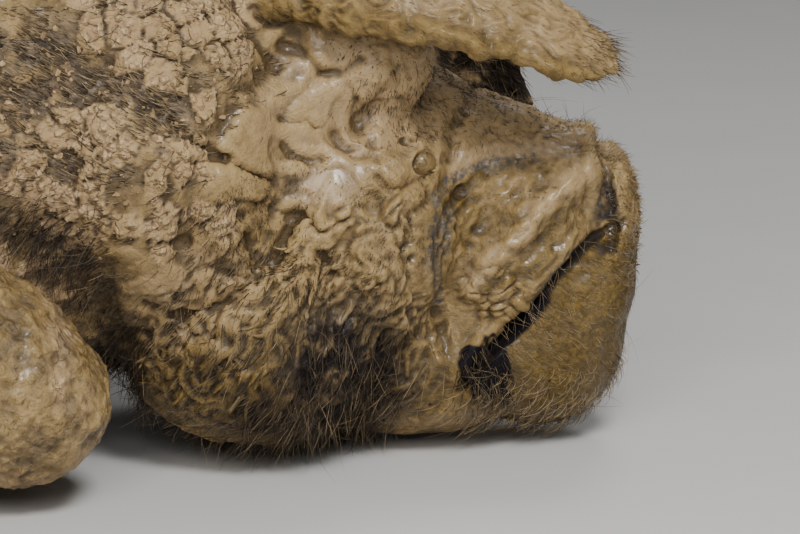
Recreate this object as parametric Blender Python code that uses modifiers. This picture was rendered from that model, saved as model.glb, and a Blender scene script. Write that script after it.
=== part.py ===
"""A life-size domestic pig that rests on its belly and holds its chin just above the ground.

It faces +X, its right side is towards -Y, and it rests on the plane Z = 0.
The tables below are in centimetres, and CM turns them into metres.
"""

import math
import random

import bmesh
import bpy
import numpy as np
from mathutils import Matrix, Vector
from mathutils.bvhtree import BVHTree

CM = 0.01
GAP = 0.0003
GROWTH = 0.0005
CLAY_CELL = 0.004
LIMB_CELL = 0.0035

# Trunk, neck and skull: x, half width, top, bottom, height of the widest place.
TRUNK = (
    (-66.0, 2.5, 30.0, 25.0, 27.5),
    (-63.5, 8.0, 35.0, 16.0, 26.0),
    (-57.0, 13.5, 39.8, 5.0, 23.0),
    (-46.0, 17.5, 43.6, 0.2, 21.0),
    (-32.0, 20.5, 45.2, -1.2, 18.0),
    (-16.0, 23.2, 44.4, -1.6, 15.0),
    (-2.0, 23.0, 43.0, -1.6, 15.0),
    (11.0, 20.0, 43.4, -1.4, 20.0),
    (21.0, 17.6, 43.0, 0.3, 25.0),
    (29.5, 16.0, 41.0, 4.6, 26.0),
    (37.0, 14.4, 37.6, 7.2, 23.5),
    (43.0, 12.0, 33.6, 6.0, 21.0),
    (48.0, 9.4, 28.6, 5.0, 18.0),
    (53.0, 7.4, 24.1, 3.6, 14.5),
    (58.0, 5.8, 22.0, 4.0, 13.0),
    (61.5, 4.6, 20.9, 7.0, 13.5),
    (63.0, 3.4, 19.6, 12.0, 16.0),
)
TRUNK_SIDES = 14
TRUNK_SQUARENESS = (0.92, 0.74)

# Masses of muscle and fat: centre, radii, nose-up tilt in degrees. Those off the middle come in pairs.
MASSES = (
    ((14.5, 12.0, 26.0), (10.5, 8.8, 15.5), -14.0),
    ((12.0, 14.5, 15.0), (10.0, 7.4, 9.0), 12.0),
    ((-45.5, 11.0, 22.5), (16.5, 10.2, 18.5), 12.0),
    ((-34.0, 14.5, 15.0), (12.5, 8.6, 12.0), -20.0),
    ((35.0, 9.5, 21.0), (9.0, 7.0, 11.5), 0.0),
    ((41.5, 6.6, 9.6), (8.6, 7.2, 8.4), 10.0),
    ((47.0, 5.6, 15.0), (8.0, 6.6, 8.6), 0.0),
    ((47.8, 4.9, 25.2), (4.6, 3.6, 3.6), -20.0),
    ((57.4, 3.3, 13.2), (4.3, 4.0, 7.8), -38.0),
    ((59.8, 1.3, 17.4), (4.0, 3.7, 3.2), 0.0),
    ((59.2, 0.0, 8.0), (6.4, 6.0, 7.4), 20.0),
    ((52.5, 0.0, 6.2), (9.5, 7.6, 5.9), 4.0),
    ((62.9, 0.0, 10.6), (3.5, 4.9, 5.0), 0.0),
)

# The lower lip stands up in front of the snout like a scoop, with a dip in the middle of its rim.
LOWER_LIP = (
    ((63.4, 0.0, 11.8), (2.9, 4.8, 4.6), 0.0),
    ((64.5, 0.0, 13.2), (1.9, 4.7, 5.8), 0.0),
    ((64.6, 2.7, 14.9), (1.6, 2.3, 4.2), 0.0),
)
LIP_DIP = ((65.0, 0.0, 22.0), (4.0, 4.2, 4.0))

# Mouth, from in front of the lips back to the corner, and on down through the jaw, as x and z.
MOUTH = ((70.0, 15.4), (65.4, 15.1), (63.2, 14.2), (61.0, 12.0), (58.0, 8.6), (54.9, 4.9))
JAW_ROOT = ((53.4, 2.6), (52.0, -2.0))
LIP_GROOVE = (0.55, 0.95)

# Folds of the face, as points x and z on both sides, with a groove's reach and depth.
FOLDS = (
    (((61.5, 18.6), (58.5, 18.6), (55.7, 17.9), (53.7, 16.6), (52.9, 15.2), (52.8, 13.0), (53.4, 10.4), (54.2, 7.2)),
     0.55, 0.75),
    (((53.6, 18.3), (51.7, 16.6), (51.0, 14.6), (51.2, 12.4)), 0.5, 0.45),
    (((49.5, 17.5), (46.5, 14.2), (45.6, 10.8)), 0.9, 0.55),
    (((44.5, 27.5), (41.0, 24.0), (38.5, 19.5), (37.6, 14.5)), 1.0, 0.8),
    (((55.6, 22.9), (54.5, 21.3), (54.2, 19.6)), 0.5, 0.35),
    (((50.8, 25.4), (49.6, 23.3), (48.6, 22.2)), 0.6, 0.45),
)

# Eyes: place in profile, radius of the ball, how far its middle lies under the skin, the swelling of
# the lids round it, and their rim: its two radii, its stretch along and up, its rise and its sides.
EYE_XZ = (52.6, 19.6)
EYE_RADIUS = 1.15
EYE_SINK = 0.62
LID_RADIUS = 1.25
LID_REACH = 0.42
LID_HEIGHT = 0.3
LID_RIM = (1.06, 0.4)
LID_STRETCH = (1.2, 0.92)
LID_RISE = 0.75
LID_SIDES = (14, 6)

# Snout disc: centre, half width, half height, tilt, and its rings as depth along the nose and share of the size.
DISC_CENTRE = (63.3, 0.0, 17.8)
DISC_HALF_WIDTH = 4.4
DISC_HALF_HEIGHT = 2.9
DISC_TILT = 8.0
DISC_SIDES = 10
DISC_RINGS = ((-2.0, 0.62), (-1.5, 0.86), (-0.6, 1.0), (0.25, 0.99), (0.75, 0.86), (0.85, 0.4))
NOSTRIL_PLACE = (1.75, 0.65)
NOSTRIL_RADII = (0.72, 0.8)
NOSTRIL_DEPTH = 1.5

# Where the neck meets the head and the trunk: x at the middle height, and the plane's lean.
HEAD_CUT = (35.5, 20.0, 0.10)
NECK_CUT = (23.5, 20.0, 0.17)

# Ears: middle line with half widths, the direction from inner to outer edge, and how far the edges curl in.
EAR_RIGHT = (
    ((39.0, -6.8, 32.4), 3.6),
    ((44.8, -9.3, 34.3), 5.4),
    ((50.0, -10.8, 33.0), 5.9),
    ((55.0, -11.3, 30.8), 5.0),
    ((59.6, -11.0, 28.7), 3.7),
    ((62.9, -10.4, 27.1), 2.3),
    ((65.0, -9.8, 25.9), 0.8),
)
EAR_RIGHT_ACROSS = (0.10, -0.60, -0.79)
EAR_LEFT = (
    ((39.0, 6.8, 32.0), 3.6),
    ((45.0, 10.4, 32.2), 5.4),
    ((50.2, 13.0, 28.6), 5.8),
    ((54.4, 13.9, 23.8), 5.0),
    ((57.5, 13.5, 19.4), 3.6),
    ((59.5, 12.8, 16.2), 2.2),
    ((60.7, 12.2, 14.1), 0.8),
)
EAR_LEFT_ACROSS = (-0.62, 0.36, -0.70)
EAR_ACROSS_STEPS = 4
EAR_CURL = 0.16
EAR_THICKNESS = 0.75

# Legs of the right side: middle line and radius. The left side mirrors them.
FOREARM = (
    ((2.0, 12.5, 14.0), 4.5),
    ((7.5, 15.4, 13.6), 6.4),
    ((14.5, 17.2, 12.6), 7.4),
    ((21.5, 17.9, 9.9), 7.0),
    ((27.0, 18.2, 7.4), 6.4),
    ((30.6, 18.4, 5.2), 4.8),
    ((32.4, 18.5, 3.6), 2.9),
)
FORE_CANNON = (
    ((25.0, 16.6, 3.4), 3.2),
    ((19.0, 16.2, 3.2), 3.1),
    ((13.5, 15.8, 3.1), 3.1),
    ((9.5, 15.6, 3.0), 3.3),
    ((7.6, 15.5, 2.9), 2.2),
)
SHANK = (
    ((-26.0, 16.5, 9.0), 4.6),
    ((-32.0, 18.0, 9.6), 6.2),
    ((-41.0, 18.6, 8.6), 5.6),
    ((-49.0, 18.4, 6.4), 4.3),
    ((-54.5, 18.2, 4.9), 3.0),
    ((-57.0, 18.1, 4.4), 1.6),
)
HIND_CANNON = (
    ((-53.5, 18.6, 3.5), 3.1),
    ((-47.0, 20.2, 3.3), 3.2),
    ((-39.0, 21.4, 3.1), 3.1),
    ((-34.2, 21.9, 3.0), 3.4),
    ((-32.2, 22.1, 2.9), 2.3),
)
THIGH_REGION = ((-42.5, 25.5, 19.5), (18.5, 15.5, 18.5))
LIMB_SIDES = 10
LEFT_FORELEG_SHIFT = -3.5
LEFT_HINDLEG_SHIFT = 2.5

# Claws: length, half width and height, and how far they stand from the foot's middle line.
CLAW_SIZE = (7.2, 1.55, 3.6)
CLAW_SPREAD = 1.75
DEWCLAW_SIZE = (3.0, 0.85, 1.7)
FORE_FOOT = (8.6, 15.6)
HIND_FOOT = (-33.4, 22.0)

# Tail: middle line and radius.
TAIL = (
    ((-62.5, 0.0, 31.0), 2.0),
    ((-66.5, 0.3, 31.6), 1.8),
    ((-69.6, 1.2, 28.8), 1.45),
    ((-70.4, 2.4, 24.6), 1.2),
    ((-69.2, 3.6, 20.6), 1.0),
    ((-67.6, 5.0, 18.0), 0.8),
    ((-67.4, 6.6, 16.8), 0.5),
)

# Locks of the coat: node, span in x, height that they are aimed at, rows as angles up from straight
# below, how many on each side, their length and width, and the way they hang.
LOCKS = (
    ("neck", (25.5, 35.0), 15.0, (14.0, 36.0, 58.0), 11, 8.0, 2.9, (-0.3, 0.2, -1.0)),
    ("head", (36.2, 42.8), 9.5, (20.0, 44.0), 9, 5.6, 2.0, (-0.4, 0.15, -1.0)),
    ("head", (44.0, 52.6), 6.0, (24.0,), 6, 3.8, 1.5, (-0.6, 0.15, -0.8)),
    ("lower_jaw", (54.6, 65.2), 8.5, (16.0, 32.0, 50.0), 15, 3.8, 1.25, (-0.35, 0.1, -0.95)),
)
LOCK_THICKNESS = 0.45
LOCK_SINK = 0.8
LOCK_RINGS = ((0.0, 0.8), (0.35, 1.0), (0.72, 0.62))
LOCK_CURL = Vector((-0.22, 0.0, 0.08))
LOCK_FACING = (0.5, 0.6)
LOCK_BEND = 0.2
LOCK_SPREAD = 0.2
LOCK_FLOOR = 0.35
LOCK_GROWTH = 0.00035
TAIL_LOCKS = 6
TAIL_LOCK_LENGTH = 8.0

# How finely the parts are made, and how strongly the plain places give up triangles to the face.
HEAD_TRIANGLES = 2750
PLAINNESS_FACTOR = 0.000003
FACE_BACK = 0.34
BODY_TRIANGLES = 1600
LIMB_TRIANGLES = 230
FOOT_TRIANGLES = 130
CLAW_TRIANGLES = 60
LIP_TRIANGLES = 260

RANDOM = random.Random(7)
GOLDEN = 0.618034

DARK_HIDE = (0.075, 0.06, 0.05)
WET_MUD = (0.30, 0.235, 0.14)
DRY_MUD = (0.46, 0.38, 0.27)
HORN = (0.13, 0.105, 0.08)
EYE = (0.06, 0.04, 0.025)


def clear_scene():
    for obj in list(bpy.data.objects):
        bpy.data.objects.remove(obj)


def collection(name, hidden=False):
    made = bpy.data.collections.new(name)
    bpy.context.scene.collection.children.link(made)
    made.hide_render = hidden
    return made


def material(name, colour, roughness):
    made = bpy.data.materials.new(name)
    made.use_nodes = True
    shader = made.node_tree.nodes["Principled BSDF"]
    shader.inputs["Base Color"].default_value = (*colour, 1.0)
    shader.inputs["Roughness"].default_value = roughness
    shader.inputs["Metallic"].default_value = 0.0
    return made


def add(mesh, name):
    obj = bpy.data.objects.new(name, mesh)
    WORKSHOP.objects.link(obj)
    return obj


def remove(*objects):
    for obj in objects:
        bpy.data.objects.remove(obj)


def baked(obj):
    """The object with its modifiers applied, as a new object; the old one goes."""
    bpy.context.view_layer.update()
    graph = bpy.context.evaluated_depsgraph_get()
    mesh = bpy.data.meshes.new_from_object(obj.evaluated_get(graph), depsgraph=graph)
    mesh.transform(obj.matrix_world)
    name = obj.name
    remove(obj)
    return add(mesh, name)


def from_bmesh(form, name):
    bmesh.ops.recalc_face_normals(form, faces=form.faces)
    mesh = bpy.data.meshes.new(name)
    form.to_mesh(mesh)
    form.free()
    return add(mesh, name)


def ring_cage(name, rings, levels=2):
    """A closed cage through rings of equal count, one cap at each end, rounded by Subdivision Surface."""
    form = bmesh.new()
    made = [[form.verts.new(Vector(p) * CM) for p in ring] for ring in rings]
    for first, second in zip(made, made[1:]):
        for i in range(len(first)):
            j = (i + 1) % len(first)
            form.faces.new((first[i], first[j], second[j], second[i]))
    form.faces.new(made[0])
    form.faces.new(list(reversed(made[-1])))
    obj = from_bmesh(form, name)
    rounding = obj.modifiers.new("rounding", "SUBSURF")
    rounding.levels = rounding.render_levels = levels
    return baked(obj)


def roundness(sides):
    """How much larger a cage ring is than the rounded ring inside it."""
    return 3.0 / (2.0 + math.cos(2.0 * math.pi / sides))


def trunk_ring(x, half_width, top, bottom, widest):
    ring = []
    for i in range(TRUNK_SIDES):
        angle = 2.0 * math.pi * (i + 0.5) / TRUNK_SIDES
        across, up = math.cos(angle), math.sin(angle)
        square = TRUNK_SQUARENESS[0 if up > 0 else 1]
        across = math.copysign(abs(across) ** square, across)
        up = math.copysign(abs(up) ** square, up)
        reach = (top - widest) if up > 0 else (widest - bottom)
        swell = roundness(TRUNK_SIDES)
        ring.append((x, half_width * across * swell, widest + reach * up * swell))
    return ring


def tube_rings(line, sides=LIMB_SIDES):
    """Rings square to a line of points with radii, turned without twist."""
    points = [Vector(p) for p, _ in line]
    rings = []
    side = None
    for i, (point, radius) in enumerate(zip(points, (r for _, r in line))):
        ahead = (points[min(i + 1, len(points) - 1)] - points[max(i - 1, 0)]).normalized()
        guide = side if side else (Vector((0, 1, 0)) if abs(ahead.y) < 0.9 else Vector((1, 0, 0)))
        up = ahead.cross(guide).normalized()
        side = up.cross(ahead).normalized()
        size = radius * roundness(sides)
        angles = [2.0 * math.pi * (k + 0.5) / sides for k in range(sides)]
        rings.append([point + side * size * math.cos(a) + up * size * math.sin(a) for a in angles])
    return rings


def ball(name, centre, radii, tilt=0.0, rounds=(28, 18)):
    form = bmesh.new()
    bmesh.ops.create_uvsphere(form, u_segments=rounds[0], v_segments=rounds[1], radius=1.0)
    turn = Matrix.Rotation(math.radians(-tilt), 4, "Y")
    place = Matrix.Translation(Vector(centre) * CM) @ turn @ Matrix.Diagonal((*(Vector(radii) * CM), 1.0))
    bmesh.ops.transform(form, matrix=place, verts=form.verts)
    return from_bmesh(form, name)


def clay(name, pieces, cell, smoothing):
    """Pieces pressed into one smooth closed body."""
    form = bmesh.new()
    for piece in pieces:
        form.from_mesh(piece.data)
    remove(*pieces)
    obj = from_bmesh(form, name)
    melt = obj.modifiers.new("melt", "REMESH")
    melt.mode = "VOXEL"
    melt.voxel_size = cell
    soften = obj.modifiers.new("soften", "SMOOTH")
    soften.factor = 0.5
    soften.iterations = smoothing
    return baked(obj)


def points_of(obj):
    found = np.zeros(len(obj.data.vertices) * 3)
    obj.data.vertices.foreach_get("co", found)
    return found.reshape(-1, 3)


def normals_of(obj):
    found = np.zeros(len(obj.data.vertices) * 3)
    obj.data.vertices.foreach_get("normal", found)
    return found.reshape(-1, 3)


def move_points(obj, points):
    obj.data.vertices.foreach_set("co", points.astype(np.float32).ravel())
    obj.data.update()


def distance_to_line(places, line):
    """Distance in profile from each place to the nearest stretch of a line."""
    nearest = np.full(len(places), 1e9)
    line = np.array(line) * CM
    for start, end in zip(line, line[1:]):
        along = end - start
        share = np.clip(((places - start) @ along) / (along @ along), 0.0, 1.0)
        gap = np.linalg.norm(places - start - share[:, None] * along, axis=1)
        nearest = np.minimum(nearest, gap)
    return nearest


def press(obj, line, reach, depth):
    """Presses a groove along a line that is given in profile, on both sides of the head."""
    points = points_of(obj)
    gap = distance_to_line(points[:, [0, 2]], line)
    points -= normals_of(obj) * (depth * CM * np.exp(-((gap / (reach * CM)) ** 2)))[:, None]
    move_points(obj, points)


def raise_lids(obj):
    """A ring of lid round each eye, with the socket pressed in inside it."""
    points = points_of(obj)
    normals = normals_of(obj)
    centre = np.array(EYE_XZ) * CM
    gap = np.linalg.norm(points[:, [0, 2]] - centre, axis=1)
    sideways = np.clip(np.abs(normals[:, 1]) * 2.0 - 0.2, 0.0, 1.0)
    lid = LID_HEIGHT * np.exp(-(((gap / CM - LID_RADIUS) / LID_REACH) ** 2))
    socket = -EYE_SINK * np.exp(-((gap / (0.8 * CM)) ** 2))
    points += normals * ((lid + socket) * sideways * CM)[:, None]
    move_points(obj, points)


def thinned(obj, triangles, name, plainness=None):
    """A copy with about that many triangles, most of them where the plainness is low."""
    copy = add(obj.data.copy(), name)
    count = sum(len(face.vertices) - 2 for face in copy.data.polygons)
    fewer = copy.modifiers.new("fewer", "DECIMATE")
    fewer.ratio = min(1.0, triangles / count)
    fewer.use_collapse_triangulate = True
    if plainness is not None:
        group = copy.vertex_groups.new(name="plainness")
        for i, weight in enumerate(plainness):
            group.add([i], float(weight), "REPLACE")
        fewer.vertex_group = group.name
        fewer.vertex_group_factor = PLAINNESS_FACTOR
    return baked(copy)


def face_plainness(body):
    """Low round the eyes, on the muzzle and along the mouth, high behind the head."""
    points = points_of(body)
    profile = points[:, [0, 2]]
    eye = np.linalg.norm(profile - np.array(EYE_XZ) * CM, axis=1)
    mouth = distance_to_line(profile, MOUTH)
    fold = distance_to_line(profile, FOLDS[0][0])
    near = np.minimum(eye, np.minimum(mouth, fold) + 0.4 * CM)
    detail = np.exp(-((near / (2.0 * CM)) ** 2))
    behind = 1.0 / (1.0 + np.exp((points[:, 0] - FACE_BACK) / (0.6 * CM)))
    return np.clip(np.maximum(0.45 * (1.0 - detail) + 0.02, behind), 0.0, 1.0)


def boolean(obj, cutters, operation, solver="EXACT"):
    """The object after one Boolean with a collection of closed meshes."""
    tools = collection("cutters", hidden=True)
    for cutter in cutters:
        tools.objects.link(cutter)
        cutter.hide_render = True
        cutter.display_type = "WIRE"
    step = obj.modifiers.new("boolean", "BOOLEAN")
    step.operation = operation
    step.solver = solver
    step.operand_type = "COLLECTION"
    step.collection = tools
    made = baked(obj)
    bpy.data.collections.remove(tools)
    return made


def volume_of(obj):
    form = bmesh.new()
    form.from_mesh(obj.data)
    size = form.calc_volume()
    form.free()
    return abs(size)


def islands(obj):
    """The closed surfaces of a mesh as objects, the largest first."""
    form = bmesh.new()
    form.from_mesh(obj.data)
    left = set(form.verts)
    groups = []
    while left:
        found, edge = set(), [left.pop()]
        while edge:
            vert = edge.pop()
            found.add(vert)
            for link in vert.link_edges:
                other = link.other_vert(vert)
                if other in left:
                    left.discard(other)
                    edge.append(other)
        groups.append([v.index for v in found])
    form.free()
    parts = []
    for keep in groups:
        piece = bmesh.new()
        piece.from_mesh(obj.data)
        kept = set(keep)
        bmesh.ops.delete(piece, geom=[v for v in piece.verts if v.index not in kept], context="VERTS")
        mesh = bpy.data.meshes.new(obj.name)
        piece.to_mesh(mesh)
        piece.free()
        parts.append(add(mesh, obj.name))
    remove(obj)
    return sorted(parts, key=volume_of, reverse=True)


def largest(obj):
    """The object with only the largest of its closed surfaces."""
    name = obj.name
    parts = islands(obj)
    remove(*parts[1:])
    parts[0].name = name
    return parts[0]


def tidied(obj):
    """The mesh in triangles, with nearly coincident points joined where it stays closed."""
    for reach in (2e-5, 4e-6, 0.0):
        form = bmesh.new()
        form.from_mesh(obj.data)
        if reach:
            bmesh.ops.remove_doubles(form, verts=form.verts, dist=reach)
            bmesh.ops.dissolve_degenerate(form, edges=form.edges, dist=reach)
        bmesh.ops.triangulate(form, faces=form.faces)
        closed = all(edge.is_manifold for edge in form.edges)
        if closed or not reach:
            form.to_mesh(obj.data)
            form.free()
            return obj
        form.free()
    return obj


def grown(obj, growth=GROWTH):
    """A copy that is larger all round by a little more than the gap."""
    copy = add(obj.data.copy(), "grown")
    move_points(copy, points_of(copy) + normals_of(copy) * growth)
    return copy


def joined(obj, pieces):
    """The object and the pieces as one closed body; the pieces go."""
    made = boolean(obj, pieces, "UNION")
    remove(*pieces)
    return tidied(largest(made))


def clear_of(obj, *neighbours, growth=GROWTH):
    """The object cut back from its neighbours by the gap."""
    cutters = [grown(n, growth) for n in neighbours]
    made = boolean(obj, cutters, "DIFFERENCE")
    remove(*cutters)
    return tidied(largest(made))


def box(name, low, high):
    form = bmesh.new()
    bmesh.ops.create_cube(form, size=1.0)
    low, high = Vector(low) * CM, Vector(high) * CM
    size = high - low
    place = Matrix.Translation((low + high) / 2) @ Matrix.Diagonal((*size, 1.0))
    bmesh.ops.transform(form, matrix=place, verts=form.verts)
    return from_bmesh(form, name)


def on_floor(obj):
    """The object with a small flat wherever it would sink under the floor."""
    floor = box("floor", (-120, -80, -30), (120, 80, 0))
    made = boolean(obj, [floor], "DIFFERENCE")
    remove(floor)
    return tidied(largest(made))


def slab(cut):
    """A thin upright sheet across the body, leaning as the cut says."""
    x, z, lean = cut
    form = bmesh.new()
    bmesh.ops.create_cube(form, size=1.0)
    turn = Matrix.Rotation(-math.atan(lean), 4, "Y")
    place = Matrix.Translation(Vector((x, 0, z)) * CM) @ turn @ Matrix.Diagonal((GAP * 1.3, 1.2, 1.2, 1.0))
    bmesh.ops.transform(form, matrix=place, verts=form.verts)
    return from_bmesh(form, "slab")


def mouth_blade():
    """A thin sheet along the mouth and down through the root of the jaw."""
    form = bmesh.new()
    line = [Vector((x, 0.0, z)) * CM for x, z in (*MOUTH, *JAW_ROOT)]
    half = Vector((0.0, 0.2, 0.0))
    near = [form.verts.new(p - half) for p in line]
    far = [form.verts.new(p + half) for p in line]
    for i in range(len(line) - 1):
        form.faces.new((near[i], near[i + 1], far[i + 1], far[i]))
    sheet = from_bmesh(form, "mouth_blade")
    thick = sheet.modifiers.new("thick", "SOLIDIFY")
    thick.thickness = GAP * 1.5
    thick.offset = 0.0
    return baked(sheet)


def mirrored(places, side):
    return tuple(((x, y * side, z), *rest) for (x, y, z), *rest in places)


def shifted(places, by):
    return tuple(((x + by, y, z), *rest) for (x, y, z), *rest in places)


def body_clay():
    """Trunk, neck and head as one smooth body, with the folds of the face."""
    pieces = [ring_cage("trunk", [trunk_ring(*row) for row in TRUNK], levels=3)]
    for (x, y, z), radii, tilt in MASSES:
        for side in (-1, 1) if y else (1,):
            pieces.append(ball("mass", (x, y * side, z), radii, tilt))
    body = clay("body", pieces, CLAY_CELL, 10)
    for line, reach, depth in FOLDS:
        press(body, line, reach, depth)
    press(body, MOUTH, *LIP_GROOVE)
    raise_lids(body)
    return body


def lower_lip():
    pieces = []
    for (x, y, z), radii, tilt in LOWER_LIP:
        for side in (-1, 1) if y else (1,):
            pieces.append(ball("lip", (x, y * side, z), radii, tilt))
    dip = ball("dip", *LIP_DIP)
    lip = clay("lower_lip", pieces, LIMB_CELL, 3)
    lip = clay("lower_lip", [boolean(lip, [dip], "DIFFERENCE")], LIMB_CELL, 6)
    remove(dip)
    small = thinned(lip, LIP_TRIANGLES, "lip")
    remove(lip)
    return small


def surface_side(tree, x, z, side):
    """The point of the skin seen from the side at that place in profile."""
    hit = tree.ray_cast(Vector((x * CM, side * 0.6, z * CM)), Vector((0, -side, 0)))
    return hit[0], hit[1]


def ear(name, line, across):
    """A cupped leaf round its middle line, thick at the root and thin at the edges."""
    across = Vector(across).normalized()
    points = [Vector(p) for p, _ in line]
    form = bmesh.new()
    rows = []
    for i, (point, (_, width)) in enumerate(zip(points, line)):
        ahead = (points[min(i + 1, len(points) - 1)] - points[max(i - 1, 0)]).normalized()
        edge = (across - ahead * across.dot(ahead)).normalized()
        out = ahead.cross(edge).normalized()
        out = out if out.z > 0 else -out
        row = []
        for k in range(EAR_ACROSS_STEPS + 1):
            share = 2.0 * k / EAR_ACROSS_STEPS - 1.0
            place = point + edge * width * share - out * EAR_CURL * width * 2.0 * share * share
            row.append(form.verts.new(place * CM))
        rows.append(row)
    for first, second in zip(rows, rows[1:]):
        for k in range(EAR_ACROSS_STEPS):
            form.faces.new((first[k], first[k + 1], second[k + 1], second[k]))
    sheet = from_bmesh(form, name)
    thick = sheet.modifiers.new("thick", "SOLIDIFY")
    thick.thickness = EAR_THICKNESS * CM
    thick.offset = 0.0
    rounding = sheet.modifiers.new("rounding", "SUBSURF")
    rounding.levels = rounding.render_levels = 1
    return baked(sheet)


def limb(name, line, smoothing=6, triangles=LIMB_TRIANGLES):
    made = clay(name, [ring_cage(name, tube_rings(line))], LIMB_CELL, smoothing)
    small = thinned(made, triangles, name)
    remove(made)
    small.name = name
    return small


def claw(name, heel, toe_yaw, size, levels=1):
    """A claw: a wedge with a flat sole, a rounded wall and a blunt toe."""
    length, half_width, height = size
    rows = ((0.0, 0.9, 0.97), (0.4, 1.0, 0.95), (0.85, 0.72, 0.45), (1.0, 0.3, 0.18))
    turn = Matrix.Rotation(toe_yaw, 3, "Z")
    rings = []
    for along, wide, tall in rows:
        ring = []
        for across, up in ((-1, 0), (-1, 0.45), (-0.55, 1.0), (0.55, 1.0), (1, 0.45), (1, 0)):
            place = Vector((along * length, across * wide * half_width, up * tall * height - 0.25))
            ring.append(Vector(heel) + turn @ place)
        rings.append(ring)
    made = ring_cage(name, rings, levels)
    if not levels:
        return made
    small = thinned(made, CLAW_TRIANGLES, name)
    remove(made)
    small.name = name
    return small


def disc_rings():
    centre = Vector(DISC_CENTRE)
    turn = Matrix.Rotation(math.radians(-DISC_TILT), 3, "Y")
    rings = []
    for depth, share in DISC_RINGS:
        ring = []
        for i in range(DISC_SIDES):
            angle = 2.0 * math.pi * (i + 0.5) / DISC_SIDES
            wide = DISC_HALF_WIDTH * share * roundness(DISC_SIDES)
            tall = DISC_HALF_HEIGHT * share * roundness(DISC_SIDES)
            up = math.sin(angle)
            narrow = 1.0 - 0.12 * max(0.0, -up)
            ring.append(centre + turn @ Vector((depth, wide * math.cos(angle) * narrow, tall * up)))
        rings.append(ring)
    return rings


def snout_disc():
    """The disc of the nose with its two nostrils."""
    disc = ring_cage("snout_disc", disc_rings(), levels=1)
    turn = Matrix.Rotation(math.radians(-DISC_TILT), 4, "Y")
    holes = []
    for side in (-1, 1):
        form = bmesh.new()
        bmesh.ops.create_cone(form, cap_ends=True, segments=12, radius1=0.75, radius2=1.0, depth=1.0)
        size = Matrix.Diagonal((NOSTRIL_RADII[1] * CM, NOSTRIL_RADII[0] * CM, NOSTRIL_DEPTH * 2 * CM, 1.0))
        lay = Matrix.Rotation(math.radians(90), 4, "Y")
        spot = Vector((1.0, side * NOSTRIL_PLACE[0], NOSTRIL_PLACE[1]))
        place = Matrix.Translation(Vector(DISC_CENTRE) * CM) @ turn @ Matrix.Translation(spot * CM) @ lay @ size
        bmesh.ops.transform(form, matrix=place, verts=form.verts)
        holes.append(from_bmesh(form, "nostril"))
    made = boolean(disc, holes, "DIFFERENCE")
    remove(*holes)
    return tidied(largest(made))


def head_parts(body):
    """Head, lower jaw, neck and eyes, cut from the finely made body."""
    fine = thinned(body, HEAD_TRIANGLES, "head", face_plainness(body))
    tree = BVHTree.FromPolygons(
        [v.co for v in body.data.vertices], [list(f.vertices) for f in body.data.polygons]
    )
    front = box("front", (HEAD_CUT[0] - 5, -80, -20), (120, 80, 80))
    fine = boolean(fine, [front], "INTERSECT")
    remove(front)
    blade = slab(HEAD_CUT)
    fine = boolean(fine, [blade], "DIFFERENCE")
    remove(blade)
    head = largest(fine)
    blade = mouth_blade()
    head = boolean(head, [blade], "DIFFERENCE")
    remove(blade)
    head, jaw, *scraps = islands(head)
    remove(*scraps)
    jaw = joined(jaw, [lower_lip()])
    eyes, lids = [], []
    for side, word in ((-1, "right"), (1, "left")):
        skin, normal = surface_side(tree, *EYE_XZ, side)
        middle = (skin - normal * EYE_SINK * CM) / CM
        eyes.append(ball(f"eye_{word}", middle, (EYE_RADIUS,) * 3, rounds=(12, 9)))
        lids.append(lid_rim(middle, normal))
    return joined(head, lids), jaw, eyes


def lid_rim(middle, normal):
    """The rim of the lids: a ring round the eye, longer along the head than it is high."""
    ahead = (Vector((1.0, 0.0, -0.35)) - normal * normal.dot(Vector((1.0, 0.0, -0.35)))).normalized()
    up = normal.cross(ahead).normalized()
    centre = middle + normal * LID_RISE
    form = bmesh.new()
    rings = []
    for i in range(LID_SIDES[0]):
        turn = 2.0 * math.pi * i / LID_SIDES[0]
        spoke = ahead * math.cos(turn) * LID_STRETCH[0] + up * math.sin(turn) * LID_STRETCH[1]
        ring = []
        for k in range(LID_SIDES[1]):
            roll = 2.0 * math.pi * k / LID_SIDES[1]
            reach = LID_RIM[0] + LID_RIM[1] * math.cos(roll)
            ring.append(form.verts.new((centre + spoke * reach + normal * LID_RIM[1] * math.sin(roll)) * CM))
        rings.append(ring)
    for i, ring in enumerate(rings):
        after = rings[(i + 1) % len(rings)]
        for k in range(LID_SIDES[1]):
            j = (k + 1) % LID_SIDES[1]
            form.faces.new((ring[k], ring[j], after[j], after[k]))
    return from_bmesh(form, "lid")


def build_body():
    body = body_clay()
    head, jaw, eyes = head_parts(body)
    coarse = thinned(body, BODY_TRIANGLES, "torso")
    remove(body)
    back = box("back", (-120, -80, -20), (HEAD_CUT[0] + 5, 80, 80))
    coarse = boolean(coarse, [back], "INTERSECT")
    remove(back)
    blades = [slab(HEAD_CUT), slab(NECK_CUT)]
    coarse = boolean(coarse, blades, "DIFFERENCE")
    remove(*blades)
    torso, neck, *scraps = islands(coarse)
    remove(*scraps)
    thighs = []
    for side, word in ((-1, "right"), (1, "left")):
        (x, y, z), radii = THIGH_REGION
        region = ball("region", (x, y * side, z), radii, rounds=(24, 16))
        thigh = boolean(add(torso.data.copy(), f"thigh_{word}"), [region], "INTERSECT")
        larger = grown(region)
        torso = boolean(torso, [larger], "DIFFERENCE")
        remove(region, larger)
        thighs.append(tidied(largest(thigh)))
    torso = tidied(largest(torso))
    return torso, neck, head, jaw, eyes, thighs


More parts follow.
